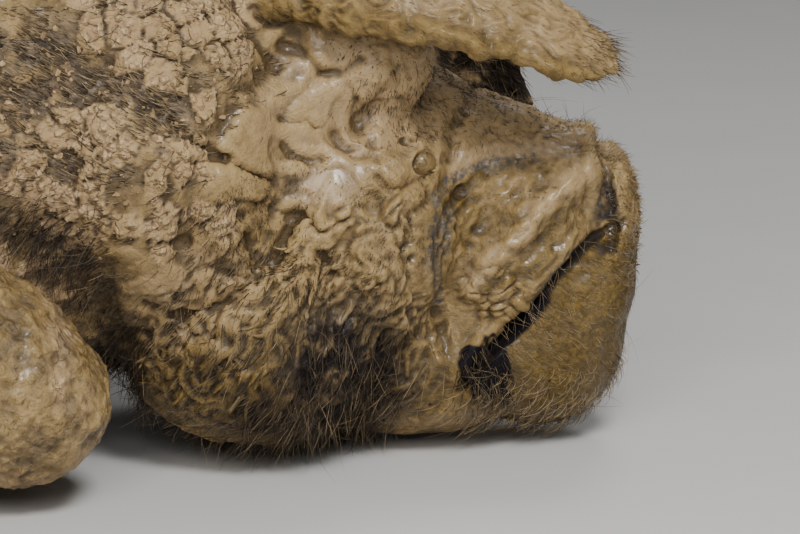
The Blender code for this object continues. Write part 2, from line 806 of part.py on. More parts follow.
def claws(name, foot, yaw):
    """Two main claws and two dewclaws at the end of a foot."""
    made = []
    ahead = math.cos(yaw)
    for step, part in ((-1, "outer"), (1, "inner")):
        heel = (foot[0], foot[1] + step * CLAW_SPREAD, 0.0)
        turned = yaw + math.radians(3.0) * step * ahead
        made.append(claw(f"{name}_{part}", heel, turned, CLAW_SIZE))
        heel = (foot[0] - 3.4 * ahead, foot[1] + step * 3.1, 2.6)
        made.append(claw(f"{name}_{part}_dew", heel, yaw, DEWCLAW_SIZE, levels=0))
    return made


def parted(shapes, above, beside):
    """Each shape cut clear of those before it, the first also of what it grows from."""
    made = []
    for i, shape in enumerate(shapes):
        name = shape.name
        shape.name = f"{name}_whole"
        neighbours = (*shapes[:i], *beside, *(above if i == 0 else ()))
        made.append(on_floor(clear_of(add(shape.data.copy(), name), *neighbours)))
    return made


def legs(torso, fore_neighbours, thighs):
    """Both pairs of legs with their claws, and the torso with room for the feet under it."""
    made, whole = [], []
    for side, word, thigh in ((-1, "right", thighs[0]), (1, "left", thighs[1])):
        shift = LEFT_FORELEG_SHIFT if side > 0 else 0.0
        shapes = [
            limb(f"forearm_{word}", shifted(mirrored(FOREARM, side), shift)),
            limb(f"fore_cannon_{word}", shifted(mirrored(FORE_CANNON, side), shift), triangles=FOOT_TRIANGLES),
            *claws(f"fore_claw_{word}", (FORE_FOOT[0] + shift, FORE_FOOT[1] * side), math.pi),
        ]
        made += parted(shapes, (torso, *fore_neighbours), ())
        whole += shapes
        shift = LEFT_HINDLEG_SHIFT if side > 0 else 0.0
        shapes = [
            limb(f"shank_{word}", shifted(mirrored(SHANK, side), shift)),
            limb(f"hind_cannon_{word}", shifted(mirrored(HIND_CANNON, side), shift), triangles=FOOT_TRIANGLES),
            *claws(f"hind_claw_{word}", (HIND_FOOT[0] + shift, HIND_FOOT[1] * side), 0.0),
        ]
        made += parted(shapes, (torso,), (thigh,))
        whole += shapes
    torso = clear_of(torso, *[s for s in whole if "forearm" not in s.name and "shank" not in s.name])
    remove(*whole)
    return torso, made


def lock(root, out, facing, lie, length, width):
    """A flat lock: it leaves the skin along its normal, bends over along the lie and ends in a point."""
    lie = lie.normalized()
    flat = facing.cross(lie).normalized()
    spine = [root - out * LOCK_SINK]
    for share in (*[s for s, _ in LOCK_RINGS[1:]], 1.0):
        bow = out * LOCK_BEND * math.sin(math.pi * share) + LOCK_CURL * share * share
        spine.append(root + (lie * share + bow) * length)
    tip = spine.pop()
    form = bmesh.new()
    rings = []
    for place, (share, wide) in zip(spine, LOCK_RINGS):
        thick = LOCK_THICKNESS * (1.0 - 0.4 * share)
        across = flat * width * wide / 2
        deep = flat.cross(lie).normalized() * thick / 2
        corners = (place + across, place + deep, place - across, place - deep)
        rings.append([form.verts.new(p * CM) for p in corners])
    for first, second in zip(rings, rings[1:]):
        for i in range(4):
            form.faces.new((first[i], first[(i + 1) % 4], second[(i + 1) % 4], second[i]))
    end = form.verts.new(tip * CM)
    for i in range(4):
        form.faces.new((rings[-1][i], rings[-1][(i + 1) % 4], end))
    form.faces.new(rings[0])
    bmesh.ops.triangulate(form, faces=form.faces)
    return from_bmesh(form, "lock")


def coat_locks(obj, region):
    """Staggered rows of overlapping locks under a node, on both sides of the body."""
    _, (first, last), height, rows, count, length, width, lie = region
    tree = BVHTree.FromPolygons([v.co for v in obj.data.vertices], [list(f.vertices) for f in obj.data.polygons])
    made = []
    for side in (-1, 1):
        for i in range(count):
            x = first + (last - first) * (i + 0.5) / count + RANDOM.uniform(-0.3, 0.3)
            angle = math.radians(rows[i % len(rows)] + RANDOM.uniform(-5.0, 5.0))
            aim = Vector((0.0, -side * math.sin(angle), math.cos(angle)))
            start = Vector((x, 0.0, height)) * CM - aim
            place, normal = tree.ray_cast(start, aim)[:2]
            if place is None:
                continue
            wander = Vector([RANDOM.uniform(-0.15, 0.15) for _ in range(3)])
            way = (Vector((lie[0], lie[1] * side, lie[2])) + normal * LOCK_SPREAD + wander).normalized()
            size = length * RANDOM.uniform(0.8, 1.15)
            way.z = max(way.z, (LOCK_FLOOR - place.z / CM) / size)
            facing = normal * LOCK_FACING[0] + Vector((0.0, side * LOCK_FACING[1], 0.0))
            made.append(lock(place / CM, normal, facing, way, size, width * RANDOM.uniform(0.85, 1.15)))
    return made


def tail_locks():
    """The tuft that hides the tail's tip."""
    end, before = Vector(TAIL[-1][0]), Vector(TAIL[-3][0])
    made = []
    for i in range(TAIL_LOCKS):
        angle = 2.0 * math.pi * i / TAIL_LOCKS
        out = Vector((math.cos(angle), math.sin(angle), 0.0))
        root = before.lerp(end, 0.25 + 0.7 * (i * GOLDEN % 1.0))
        way = Vector((0.0, 0.1, -1.0)) + out * 0.18
        rise = out * 0.4 + Vector((0.0, 0.0, -0.3))
        made.append(lock(root, rise, rise, way, TAIL_LOCK_LENGTH, 1.0))
    return made


def dressed(obj, locks, neighbours):
    """The node with its locks grown on, cut clear of what is near it and of the floor."""
    name = obj.name
    made = joined(obj, locks)
    made = clear_of(made, *neighbours, growth=LOCK_GROWTH)
    made = on_floor(made)
    made.name = name
    return made


def finish(obj, name, paint):
    """The object as a named part, smooth-shaded, in the pig's collection."""
    WORKSHOP.objects.unlink(obj)
    PIG.objects.link(obj)
    obj.name = name
    obj.data.name = name
    obj.data.materials.clear()
    obj.data.materials.append(paint)
    obj.data.shade_smooth()
    obj.data.set_sharp_from_angle(angle=math.radians(50))
    return obj


def centred(objects):
    """Moves the pig so that its box is centred over the origin."""
    low = np.min([points_of(o).min(0) for o in objects], axis=0)
    high = np.max([points_of(o).max(0) for o in objects], axis=0)
    shift = np.array([-(low[0] + high[0]) / 2, -(low[1] + high[1]) / 2, 0.0])
    for obj in objects:
        move_points(obj, points_of(obj) + shift)


clear_scene()
PIG = collection("pig")
WORKSHOP = collection("workshop")


def main():
    hide = material("muddy hide", WET_MUD, 0.6)
    dry = material("dry mud hide", DRY_MUD, 0.9)
    dark = material("dark coat", DARK_HIDE, 0.7)
    horn = material("claw horn", HORN, 0.5)
    wet = material("eye", EYE, 0.15)
    torso, neck, head, jaw, eyes, thighs = build_body()
    head = clear_of(head, *eyes)
    disc = snout_disc()
    head = clear_of(head, disc)
    jaw = clear_of(jaw, disc, head)
    neck = tidied(largest(neck))
    torso, limbs = legs(on_floor(torso), (neck, head), thighs)
    ears = [
        clear_of(ear("ear_right", EAR_RIGHT, EAR_RIGHT_ACROSS), head, neck),
        clear_of(ear("ear_left", EAR_LEFT, EAR_LEFT_ACROSS), head, neck),
    ]
    tail = clear_of(limb("tail", TAIL, smoothing=2, triangles=FOOT_TRIANGLES), torso)
    tail = dressed(tail, tail_locks(), (torso,))
    forearms = [piece for piece in limbs if piece.name.startswith("forearm")]
    locks = {name: [] for name in ("neck", "head", "lower_jaw")}
    for region in LOCKS:
        locks[region[0]] += coat_locks({"neck": neck, "head": head, "lower_jaw": jaw}[region[0]], region)
    jaw = dressed(jaw, locks["lower_jaw"], (head, disc))
    head = dressed(head, locks["head"], (jaw, neck, *forearms, *eyes, *ears, disc))
    neck = dressed(neck, locks["neck"], (head, torso, *forearms, *ears))
    parts = [(torso, "torso", dry), (neck, "neck", dry), (head, "head", hide), (jaw, "lower_jaw", hide)]
    parts += [(disc, "snout_disc", hide), (tail, "tail", dark)]
    parts += [(e, e.name, hide) for e in ears]
    parts += [(e, e.name, wet) for e in eyes]
    parts += [(t, t.name, dry) for t in thighs]
    for piece in limbs:
        parts.append((piece, piece.name, horn if "claw" in piece.name else dry))
    made = [finish(*part) for part in parts]
    centred(made)
    bpy.data.collections.remove(WORKSHOP)


main()
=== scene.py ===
"""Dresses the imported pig: one muddy skin, its bristles, eyes and claws, and a plain studio.

The tables are in centimetres in the pig's own frame, where x runs from tail to snout, y to its left
and z up, and CM turns them into metres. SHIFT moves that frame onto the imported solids.
"""

import math

import bmesh
import bpy
import numpy as np
from bpy.props import FloatProperty, FloatVectorProperty, IntProperty, PointerProperty
from mathutils import Matrix, Vector
from mathutils.bvhtree import BVHTree


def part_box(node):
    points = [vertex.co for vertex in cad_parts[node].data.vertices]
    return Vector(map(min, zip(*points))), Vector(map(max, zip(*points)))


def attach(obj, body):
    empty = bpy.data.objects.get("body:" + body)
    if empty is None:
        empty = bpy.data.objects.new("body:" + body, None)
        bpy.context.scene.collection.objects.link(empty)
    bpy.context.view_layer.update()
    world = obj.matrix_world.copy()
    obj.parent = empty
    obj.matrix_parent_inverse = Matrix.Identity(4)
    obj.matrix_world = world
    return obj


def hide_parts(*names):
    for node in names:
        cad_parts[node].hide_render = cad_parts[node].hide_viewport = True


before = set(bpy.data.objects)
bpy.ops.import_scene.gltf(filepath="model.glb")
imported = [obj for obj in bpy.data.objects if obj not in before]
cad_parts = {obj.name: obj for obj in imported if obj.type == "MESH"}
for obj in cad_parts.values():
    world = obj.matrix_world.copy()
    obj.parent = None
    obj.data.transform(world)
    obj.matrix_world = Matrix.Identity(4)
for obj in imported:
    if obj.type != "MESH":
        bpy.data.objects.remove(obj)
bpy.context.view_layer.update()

bl_info = {
    "name": "Wallowing Pig",
    "version": (1, 0, 0),
    "blender": (4, 5, 0),
    "location": "View3D > Sidebar > Pig",
    "description": "Builds the muddy skin, the coat, the eyes and the claws of a resting pig",
    "category": "Add Mesh",
}

CM = 0.01
BODY = "root"
SKIN_NAME = "pig_skin"
SEED = 41
SIDES = ((-1, "right"), (1, "left"))

# Trunk, neck and skull: x, half width, top, bottom, height of the widest place.
TRUNK = (
    (-66.0, 2.5, 30.0, 25.0, 27.5),
    (-63.5, 8.0, 35.0, 16.0, 26.0),
    (-57.0, 13.5, 39.8, 5.0, 23.0),
    (-46.0, 17.5, 43.6, 0.2, 21.0),
    (-32.0, 20.5, 45.2, -1.2, 18.0),
    (-16.0, 23.2, 44.4, -1.6, 15.0),
    (-2.0, 23.0, 43.0, -1.6, 15.0),
    (11.0, 20.0, 43.4, -1.4, 20.0),
    (21.0, 17.6, 43.0, 0.3, 25.0),
    (29.5, 16.0, 41.0, 4.6, 26.0),
    (37.0, 14.4, 37.6, 7.2, 23.5),
    (43.0, 12.0, 33.6, 6.0, 21.0),
    (48.0, 9.4, 28.6, 5.0, 18.0),
    (53.0, 7.4, 24.1, 3.6, 14.5),
    (58.0, 5.8, 22.0, 4.0, 13.0),
    (61.5, 4.6, 20.9, 7.0, 13.5),
    (63.0, 3.4, 19.6, 12.0, 16.0),
)
TRUNK_SIDES = 14
TRUNK_SQUARENESS = (0.92, 0.74)

# Masses of muscle and fat: centre, radii, nose-up tilt in degrees. Those off the middle come in pairs.
MASSES = (
    ((14.5, 12.0, 26.0), (10.5, 8.8, 15.5), -14.0),
    ((12.0, 14.5, 15.0), (10.0, 7.4, 9.0), 12.0),
    ((-45.5, 11.0, 22.5), (16.5, 10.2, 18.5), 12.0),
    ((-34.0, 14.5, 15.0), (12.5, 8.6, 12.0), -20.0),
    ((35.0, 9.5, 21.0), (9.0, 7.0, 11.5), 0.0),
    ((41.5, 6.6, 9.6), (8.6, 7.2, 8.4), 10.0),
    ((47.0, 5.6, 15.0), (8.0, 6.6, 8.6), 0.0),
    ((47.8, 4.9, 25.2), (4.6, 3.6, 3.6), -20.0),
    ((57.4, 3.3, 13.2), (4.3, 4.0, 7.8), -38.0),
    ((58.3, 3.6, 16.7), (4.8, 2.75, 2.6), -6.0),
    ((46.4, 6.6, 26.4), (7.0, 3.6, 4.8), -14.0),
    ((59.8, 1.3, 17.4), (4.0, 3.7, 3.2), 0.0),
    ((59.2, 0.0, 8.0), (6.4, 6.0, 7.4), 20.0),
    ((52.5, 0.0, 6.2), (9.5, 7.6, 5.9), 4.0),
    ((62.9, 0.0, 10.6), (3.5, 4.9, 5.0), 0.0),
)

# The lower lip stands up in front of the snout, with a dip in the middle of its rim.
LOWER_LIP = (
    ((63.4, 0.0, 11.8), (2.9, 4.8, 4.6), 0.0),
    ((64.5, 0.0, 13.2), (1.9, 4.7, 5.8), 0.0),
    ((64.6, 2.7, 14.9), (1.6, 2.3, 4.2), 0.0),
)
LIP_DIP = ((65.0, 0.0, 22.0), (4.0, 4.2, 4.0))

# Mouth line in profile from the snout back to the corner.
MOUTH = (
    (70.0, 15.4),
    (65.4, 15.1),
    (63.2, 14.2),
    (61.0, 12.0),
    (58.0, 8.7),
    (55.6, 5.9),
    (54.9, 4.9),
)

# Where the lips stand apart: place and half height of the opening.
OPENING = (
    ((60.6, 11.6), 0.08),
    ((59.4, 10.2), 0.38),
    ((58.0, 8.75), 0.58),
    ((56.8, 7.4), 0.50),
    ((55.4, 5.6), 0.08),
)
MOUTH_WALL = 2.2
LIP_GROOVE = (0.5, 0.45)
LIP_SEAM = (0.3, 0.42)
LIP_ROLL = (0.55, -0.5)
LIP_ROLL_OFFSET = (-0.55, 0.55)
CREVICE = 0.0045

# Folds of the face in profile, as points x and z, with a groove's reach and depth.
FOLDS = (
    (((61.6, 19.5), (58.5, 19.0), (56.6, 18.5), (54.9, 17.4), (53.9, 16.3), (53.4, 14.7)), 0.24, 0.1),
    (((54.9, 17.4), (53.9, 16.3), (53.4, 14.7), (53.4, 13.1), (53.4, 11.5), (53.3, 9.9), (54.0, 7.6)),
     0.38, 0.36),
    (((53.8, 18.2), (52.0, 16.8), (51.4, 14.8), (51.5, 12.6), (51.9, 10.6)), 0.45, 0.32),
    (((55.6, 16.9), (54.3, 15.9), (53.8, 14.6), (53.9, 13.2)), 0.24, 0.24),
    (((49.5, 17.5), (46.5, 14.2), (45.6, 10.8)), 0.9, 0.45),
    (((44.5, 27.5), (41.0, 24.0), (38.5, 19.5), (37.6, 14.5)), 0.8, 0.42),
    (((55.6, 22.9), (54.5, 21.3), (54.2, 19.6)), 0.5, 0.35),
    (((50.8, 25.4), (49.6, 23.3), (48.6, 22.2)), 0.6, 0.45),
)

EYE_XZ = (52.6, 19.6)
EYE_SINK = 0.5
EYE_SHOWN = 1.0
LID_RADII = (0.86, 0.74)
LID_HEIGHT = 0.24

DISC_CENTRE = (63.3, 0.0, 17.8)
DISC_HALF_WIDTH = 4.4
DISC_HALF_HEIGHT = 2.9
DISC_TILT = 8.0
DISC_SIDES = 10
DISC_RINGS = ((-2.0, 0.62), (-1.5, 0.86), (-0.6, 1.0), (0.25, 0.99), (0.75, 0.86), (0.85, 0.4))
NOSTRIL_PLACE = (1.75, 0.65)
NOSTRIL_RADII = (0.72, 0.8)
NOSTRIL_DEPTH = 1.5

# Ears: middle line with half widths, and the direction from inner to outer edge.
EAR_RIGHT = (
    ((39.0, -6.8, 32.4), 3.6),
    ((44.8, -9.3, 34.3), 5.4),
    ((50.0, -10.6, 33.3), 5.55),
    ((54.9, -10.9, 31.3), 4.35),
    ((59.6, -10.8, 29.0), 3.3),
    ((62.9, -10.4, 27.1), 2.3),
    ((65.0, -9.8, 25.9), 0.8),
)
EAR_RIGHT_ACROSS = (0.10, -0.60, -0.79)
EAR_LEFT = (
    ((39.0, 6.8, 32.0), 3.6),
    ((45.0, 10.4, 32.2), 5.4),
    ((50.2, 13.0, 28.6), 5.8),
    ((54.4, 13.9, 23.8), 5.0),
    ((57.5, 13.5, 19.4), 3.6),
    ((59.5, 12.8, 16.2), 2.2),
    ((60.7, 12.2, 14.1), 0.8),
)
EAR_LEFT_ACROSS = (-0.62, 0.36, -0.70)
EAR_ACROSS_STEPS = 6
EAR_ROLL = (0.86, 0.14, 0.5)
EAR_CURL = 0.16
EAR_THICKNESS = 0.75

# Legs of the right side: middle line and radius. The left side mirrors them, a little shifted.
FOREARM = (
    ((2.0, 12.5, 14.0), 4.5),
    ((7.5, 15.4, 13.6), 6.4),
    ((14.5, 17.2, 12.6), 7.4),
    ((21.5, 17.9, 9.9), 7.0),
    ((27.0, 18.2, 7.4), 6.4),
    ((30.6, 18.4, 5.2), 4.8),
    ((32.4, 18.5, 3.6), 2.9),
)
FORE_CANNON = (
    ((25.0, 16.6, 3.4), 3.2),
    ((19.0, 16.2, 3.2), 3.1),
    ((13.5, 15.8, 3.1), 3.1),
    ((9.5, 15.6, 3.0), 3.3),
    ((7.6, 15.5, 2.9), 2.2),
)
SHANK = (
    ((-26.0, 16.5, 9.0), 4.6),
    ((-32.0, 18.0, 9.6), 6.2),
    ((-41.0, 18.6, 8.6), 5.6),
    ((-49.0, 18.4, 6.4), 4.3),
    ((-54.5, 18.2, 4.9), 3.0),
    ((-57.0, 18.1, 4.4), 1.6),
)
HIND_CANNON = (
    ((-53.5, 18.6, 3.5), 3.1),
    ((-47.0, 20.2, 3.3), 3.2),
    ((-39.0, 21.4, 3.1), 3.1),
    ((-34.2, 21.9, 3.0), 3.4),
    ((-32.2, 22.1, 2.9), 2.3),
)
LIMB_SIDES = 10
LEFT_FORELEG_SHIFT = -3.5
LEFT_HINDLEG_SHIFT = 2.5
CLAW_SIZE = (7.2, 1.55, 3.6)
CLAW_SPREAD = 1.75
DEWCLAW_SIZE = (3.0, 0.85, 1.7)
FORE_FOOT = (8.6, 15.6)
HIND_FOOT = (-33.4, 22.0)

TAIL = (
    ((-62.5, 0.0, 31.0), 2.0),
    ((-66.5, 0.3, 31.6), 1.8),
    ((-69.6, 1.2, 28.8), 1.45),
    ((-70.4, 2.4, 24.6), 1.2),
    ((-69.2, 3.6, 20.6), 1.0),
    ((-67.6, 5.0, 18.0), 0.8),
    ((-67.4, 6.6, 16.8), 0.5),
)

# Places on the head in slanted profile, which is x and the height as the eye level sees it.
SLANT = math.radians(12.0)
REGIONS = {
    "temple": ((46.9, 19.8), (4.9, 5.2)),
    "cheek": ((45.6, 13.2), (8.0, 3.9)),
    "jowl": ((44.0, 6.2), (9.2, 6.0)),
    "dark_jowl": ((47.4, 4.2), (3.8, 4.4)),
    "upper_plates": ((37.6, 26.0), (5.6, 4.4)),
    "lower_plates": ((29.5, 15.6), (9.5, 4.6)),
    "neck_hair": ((30.5, 20.6), (9.0, 5.4)),
    "throat": ((27.6, 5.5), (6.8, 8.8)),
    "bridge": ((55.8, 21.2), (7.4, 2.6)),
    "muzzle": ((57.6, 13.6), (4.8, 5.0)),
    "muzzle_lumps": ((57.2, 9.4), (2.4, 2.0)),
    "chin": ((61.0, 6.8), (7.6, 8.4)),
    "rim": ((65.0, 14.8), (1.3, 5.6)),
    "stubble": ((50.4, 22.2), (4.2, 4.6)),
    "mouth_corner": ((56.4, 4.5), (1.9, 2.2)),
    "lip_crevice": ((64.0, 13.9), (0.8, 2.7)),
    "damp": ((42.9, 22.6), (2.5, 2.6)),
    "jowl_mud": ((38.4, 8.9), (3.4, 3.4)),
    "nose_tip": ((63.4, 18.9), (1.9, 1.6)),
    "ear_fringe": ((53.0, 23.4), (5.2, 1.5)),
}

# Lines in slanted profile along which painted glints, painted shade, a painted sheen and a painted highlight
# lie on the mud.
GLINT_LINE = ((59.5, 17.9), (56.4, 17.4), (54.2, 16.4), (53.3, 15.0), (53.0, 12.6), (53.2, 10.4), (53.7, 8.4))
OPEN_SHADE = ((59.9, 8.9), (58.4, 7.4), (56.9, 5.9))
NOSE_SHEEN = ((62.0, 18.6), (59.0, 18.4), (56.5, 18.2), (54.6, 17.2))
RIDGE_HIGHLIGHT = ((62.8, 17.2), (60.4, 15.3), (58.6, 13.1), (56.9, 11.3), (55.5, 9.6))
MUZZLE_HOLLOW = ((58.4, 15.4), (57.0, 14.3), (56.2, 13.0))
INNER_GLINT = ((54.5, 15.0), (54.0, 13.8), (53.8, 12.2))
SEAM_GLINT = ((63.2, 12.6), (61.4, 11.0), (59.8, 9.2))

# Single forms on the face in slanted profile: centre, radii and height.
DETAILS = (
    ((50.6, 17.0), (1.05, 0.95), 0.42),
    ((51.6, 18.85), (0.5, 0.2), -0.28),
    ((45.9, 20.7), (2.4, 1.7), 0.35),
    ((48.0, 18.3), (0.8, 0.3), -0.2),
    ((44.6, 17.0), (0.9, 0.6), 0.3),
    ((49.9, 22.9), (1.3, 0.7), 0.25),
    ((53.0, 10.9), (0.5, 1.5), 0.2),
    ((63.4, 17.6), (0.8, 1.5), 0.16),
    ((34.4, 12.9), (1.3, 1.35), 0.4),
)

# Creases and ridges in slanted profile, with reach and depth. A negative depth is a ridge.
CREASES = (
    (((37.2, 19.8), (38.6, 18.4), (40.6, 17.4), (41.8, 16.7), (43.2, 16.2)), 0.26, 0.5),
    (((38.4, 17.1), (39.5, 17.5), (40.6, 17.6)), 0.22, 0.35),
    (((43.9, 24.6), (45.0, 24.1), (45.6, 23.4), (46.1, 22.8), (46.9, 22.8), (47.6, 22.9), (48.6, 23.7)),
     0.3, 0.34),
    (((46.1, 22.7), (45.3, 21.9), (44.4, 21.2), (43.8, 20.2)), 0.5, 0.25),
    (((43.7, 20.0), (44.4, 19.8), (45.2, 20.0), (45.8, 19.5)), 0.28, 0.26),
    (((47.0, 19.2), (47.4, 18.4), (48.1, 17.9), (48.9, 17.9)), 0.36, 0.32),
    (((44.0, 18.4), (44.5, 17.8), (45.3, 17.4), (46.1, 17.6)), 0.3, 0.28),
    (((50.9, 22.5), (50.7, 21.8), (51.3, 21.2)), 0.3, 0.2),
    (((48.3, 21.2), (48.1, 20.5), (48.4, 19.8)), 0.28, 0.18),
    (((49.8, 16.5), (50.4, 15.8), (51.2, 15.8), (52.0, 16.3), (53.0, 16.8)), 0.36, 0.34),
    (((49.3, 18.8), (49.3, 18.0), (49.7, 17.5)), 0.3, 0.22),
    (((38.6, 28.6), (41.0, 26.6), (42.4, 24.6), (43.4, 23.2)), 0.3, 0.3),
    (((33.0, 13.0), (35.6, 12.0), (38.0, 12.4)), 0.3, 0.25),
    (((62.3, 18.8), (62.3, 17.6), (62.5, 16.4), (62.9, 14.6)), 0.28, 0.14),
    (((63.8, 19.4), (64.0, 17.2), (64.3, 14.6), (64.4, 12.0)), 0.34, 0.42),
    (((35.3, 8.6), (37.0, 8.1), (38.0, 8.0), (39.2, 8.5), (40.3, 8.7)), 0.26, 0.34),
    (((36.8, 8.0), (37.9, 7.3), (38.8, 6.4), (39.6, 6.5)), 0.26, 0.32),
    (((41.6, 13.1), (42.0, 11.8), (42.7, 11.2), (43.7, 11.9), (44.1, 13.0)), 0.32, 0.42),
    (((43.4, 14.4), (44.3, 14.0), (45.5, 13.9), (46.2, 13.1)), 0.36, 0.42),
    (((62.6, 16.9), (60.4, 15.1), (58.6, 12.9), (56.9, 11.2), (55.5, 9.6)), 0.8, -0.42),
    (((59.8, 16.3), (57.9, 15.1), (56.4, 13.6)), 0.95, 0.26),
    (((62.0, 14.6), (60.2, 12.8), (58.9, 11.5)), 0.6, 0.24),
)

# The middle line of an ear is spared from the finest mesh within this reach.
SPARED_REACH = 6.2

# A place belongs to an ear within this distance of its sheet.
EAR_REACH = 0.9

# Marks that skin and coat share, some of which say where shade, glints and highlights are painted, and parts
# of the body that only the coat asks for.
MARKS = ("dry", "bare", "ochre", "grey", "inside", "black", "wet", "taupe")
PLACES = ("ear", "leg", "chin", "corner")

# Fineness of the clay of trunk, lip and legs, in metres.
TRUNK_CELL = 0.004
LIP_CELL = 0.003
LIMB_CELL = 0.0035

# The ears lie beyond these values of x, y and z. The mouth opens between two values of x, below one of z.
EAR_ZONE = (36.0, 3.0, 12.0)
MOUTH_ZONE = (53.5, 62.5, 14.0)

# No stubble grows nearer to the middle of the eye.
EYE_CLEAR = 1.1

# How the forms of the mud slope in profile on each part, in degrees, rising towards the snout.
JOWL_SLOPE = 55
MUZZLE_SLOPE = 42
CHIN_SLOPE = -38
HAIR_SLOPE = -30
EAR_SLOPE = -20
HAIR_LIE = -28
OCHRE_LIE = -22

# Seeds of the noise that bends the borders of the mud.
SWING_SEEDS = (31, 32, 33)

# Skin and coat keep this far above the floor, in centimetres.
SKIN_FLOOR = 0.03
COAT_FLOOR = 0.06

# How bleached a hair is when it is pale from root to tip.
BLEACHED = 9.0

# Where along a strand its rings of corners lie.
SHORT = (0.0, 0.5)
MIDDLING = (0.0, 0.4, 0.75)
LONG = (0.0, 0.3, 0.55, 0.8)
FINE = (0.0, 0.2, 0.4, 0.6, 0.8, 0.92)

# Which way the hair lies in each region, going over that of the regions before it: edge and direction.
COAT_LIES = (
    ("neck_hair", 0.4, (-0.86, 0.0, 0.5)),
    ("cheek", 0.4, (-0.6, 0.1, -0.8)),
    ("stubble", 0.3, (-0.45, 0.1, -0.8)),
    ("jowl", 0.4, (-0.6, 0.1, -0.8)),
    ("dark_jowl", 0.3, (-0.45, 0.1, -0.9)),
    ("throat", 0.4, (-0.25, 0.2, -1.0)),
    ("bridge", 0.4, (-0.45, 0.35, -0.85)),
    ("chin", 0.3, (0.85, 0.3, -0.5)),
)

# The bake map unrolls the body round an axis of these heights at these places along x.
AXIS_PLACES = (-66.0, -20.0, 20.0, 45.0, 66.0)
AXIS_HEIGHTS = (26.0, 20.0, 20.0, 18.0, 14.0)
MAP_START = -75.0
MAP_LENGTH = 145.0
PATCH = 0.003
PATCH_REACH = 6.0

# A claw from heel to toe: share of its length, width and height. Its section: across and up.
CLAW_ROWS = ((0.0, 0.9, 0.97), (0.4, 1.0, 0.95), (0.85, 0.72, 0.45), (1.0, 0.3, 0.18))
CLAW_SECTION = ((-1, 0), (-1, 0.45), (-0.55, 1.0), (0.55, 1.0), (1, 0.45), (1, 0))
CLAW_SOLE = 0.25
CLAW_TURN = math.radians(3.0)
DEWCLAW_BACK = 3.4
DEWCLAW_ASIDE = 3.1
DEWCLAW_UP = 2.6
HORN_RIPPLE = 0.0003

# The camera looks at this place of the head. The lamps stand off it by these metres, with a size.
VIEW_TARGET = (51.0, -8.0, 12.88)
LAMPS = (
    ("key", (0.45, -1.65, 1.8), 0.6),
    ("fill", (-0.3, -2.1, 1.15), 1.0),
    ("rim", (0.6, 1.6, 2.2), 0.8),
)
SENSOR_WIDTH = 36.0
VIEW_RANGE = 30.0
FLOOR_HALF = 6.0

FLESH_NODES = [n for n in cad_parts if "claw" not in n and not n.startswith("eye")]


def remove(*objects):
    for obj in objects:
        bpy.data.objects.remove(obj)


def add(mesh, name):
    obj = bpy.data.objects.new(name, mesh)
    bpy.context.scene.collection.objects.link(obj)
    return obj


def baked(obj):
    """The object with its modifiers applied, as a new object; the old one goes."""
    bpy.context.view_layer.update()
    graph = bpy.context.evaluated_depsgraph_get()
    mesh = bpy.data.meshes.new_from_object(obj.evaluated_get(graph), depsgraph=graph)
    mesh.transform(obj.matrix_world)
    name = obj.name
    remove(obj)
    return add(mesh, name)


def from_bmesh(form, name):
    bmesh.ops.recalc_face_normals(form, faces=form.faces)
    mesh = bpy.data.meshes.new(name)
    form.to_mesh(mesh)
    form.free()
    return add(mesh, name)


def from_arrays(name, points, faces):
    mesh = bpy.data.meshes.new(name)
    mesh.from_pydata(points, [], faces)
    return add(mesh, name)


def ring_cage(name, rings, levels=2):
    """A closed cage through rings of equal count, one cap at each end, rounded by Subdivision Surface."""
    form = bmesh.new()
    made = [[form.verts.new(Vector(p) * CM) for p in ring] for ring in rings]
    for first, second in zip(made, made[1:]):
        for i in range(len(first)):
            j = (i + 1) % len(first)
            form.faces.new((first[i], first[j], second[j], second[i]))
    form.faces.new(made[0])
    form.faces.new(list(reversed(made[-1])))
    obj = from_bmesh(form, name)
    rounding = obj.modifiers.new("rounding", "SUBSURF")
    rounding.levels = rounding.render_levels = levels
    return baked(obj)


def roundness(sides):
    """How much larger a cage ring is than the rounded ring inside it."""
    return 3.0 / (2.0 + math.cos(2.0 * math.pi / sides))


def trunk_ring(x, half_width, top, bottom, widest):
    ring = []
    for i in range(TRUNK_SIDES):
        angle = 2.0 * math.pi * (i + 0.5) / TRUNK_SIDES
        across, up = math.cos(angle), math.sin(angle)
        square = TRUNK_SQUARENESS[0 if up > 0 else 1]
        across = math.copysign(abs(across) ** square, across)
        up = math.copysign(abs(up) ** square, up)
        reach = (top - widest) if up > 0 else (widest - bottom)
        swell = roundness(TRUNK_SIDES)
        ring.append((x, half_width * across * swell, widest + reach * up * swell))
    return ring


def tube_rings(line, sides=LIMB_SIDES):
    """Rings square to a line of points with radii, turned without twist."""
    points = [Vector(p) for p, _ in line]
    rings = []
    side = None
    for i, (point, radius) in enumerate(zip(points, (r for _, r in line))):
        ahead = (points[min(i + 1, len(points) - 1)] - points[max(i - 1, 0)]).normalized()
        guide = side if side else (Vector((0, 1, 0)) if abs(ahead.y) < 0.9 else Vector((1, 0, 0)))
        up = ahead.cross(guide).normalized()
        side = up.cross(ahead).normalized()
        size = radius * roundness(sides)
        angles = [2.0 * math.pi * (k + 0.5) / sides for k in range(sides)]
        rings.append([point + side * size * math.cos(a) + up * size * math.sin(a) for a in angles])
    return rings


def ball(name, centre, radii, tilt=0.0, rounds=(32, 20)):
    form = bmesh.new()
    bmesh.ops.create_uvsphere(form, u_segments=rounds[0], v_segments=rounds[1], radius=1.0)
    turn = Matrix.Rotation(math.radians(-tilt), 4, "Y")
    place = Matrix.Translation(Vector(centre) * CM) @ turn @ Matrix.Diagonal((*(Vector(radii) * CM), 1.0))
    bmesh.ops.transform(form, matrix=place, verts=form.verts)
    return from_bmesh(form, name)


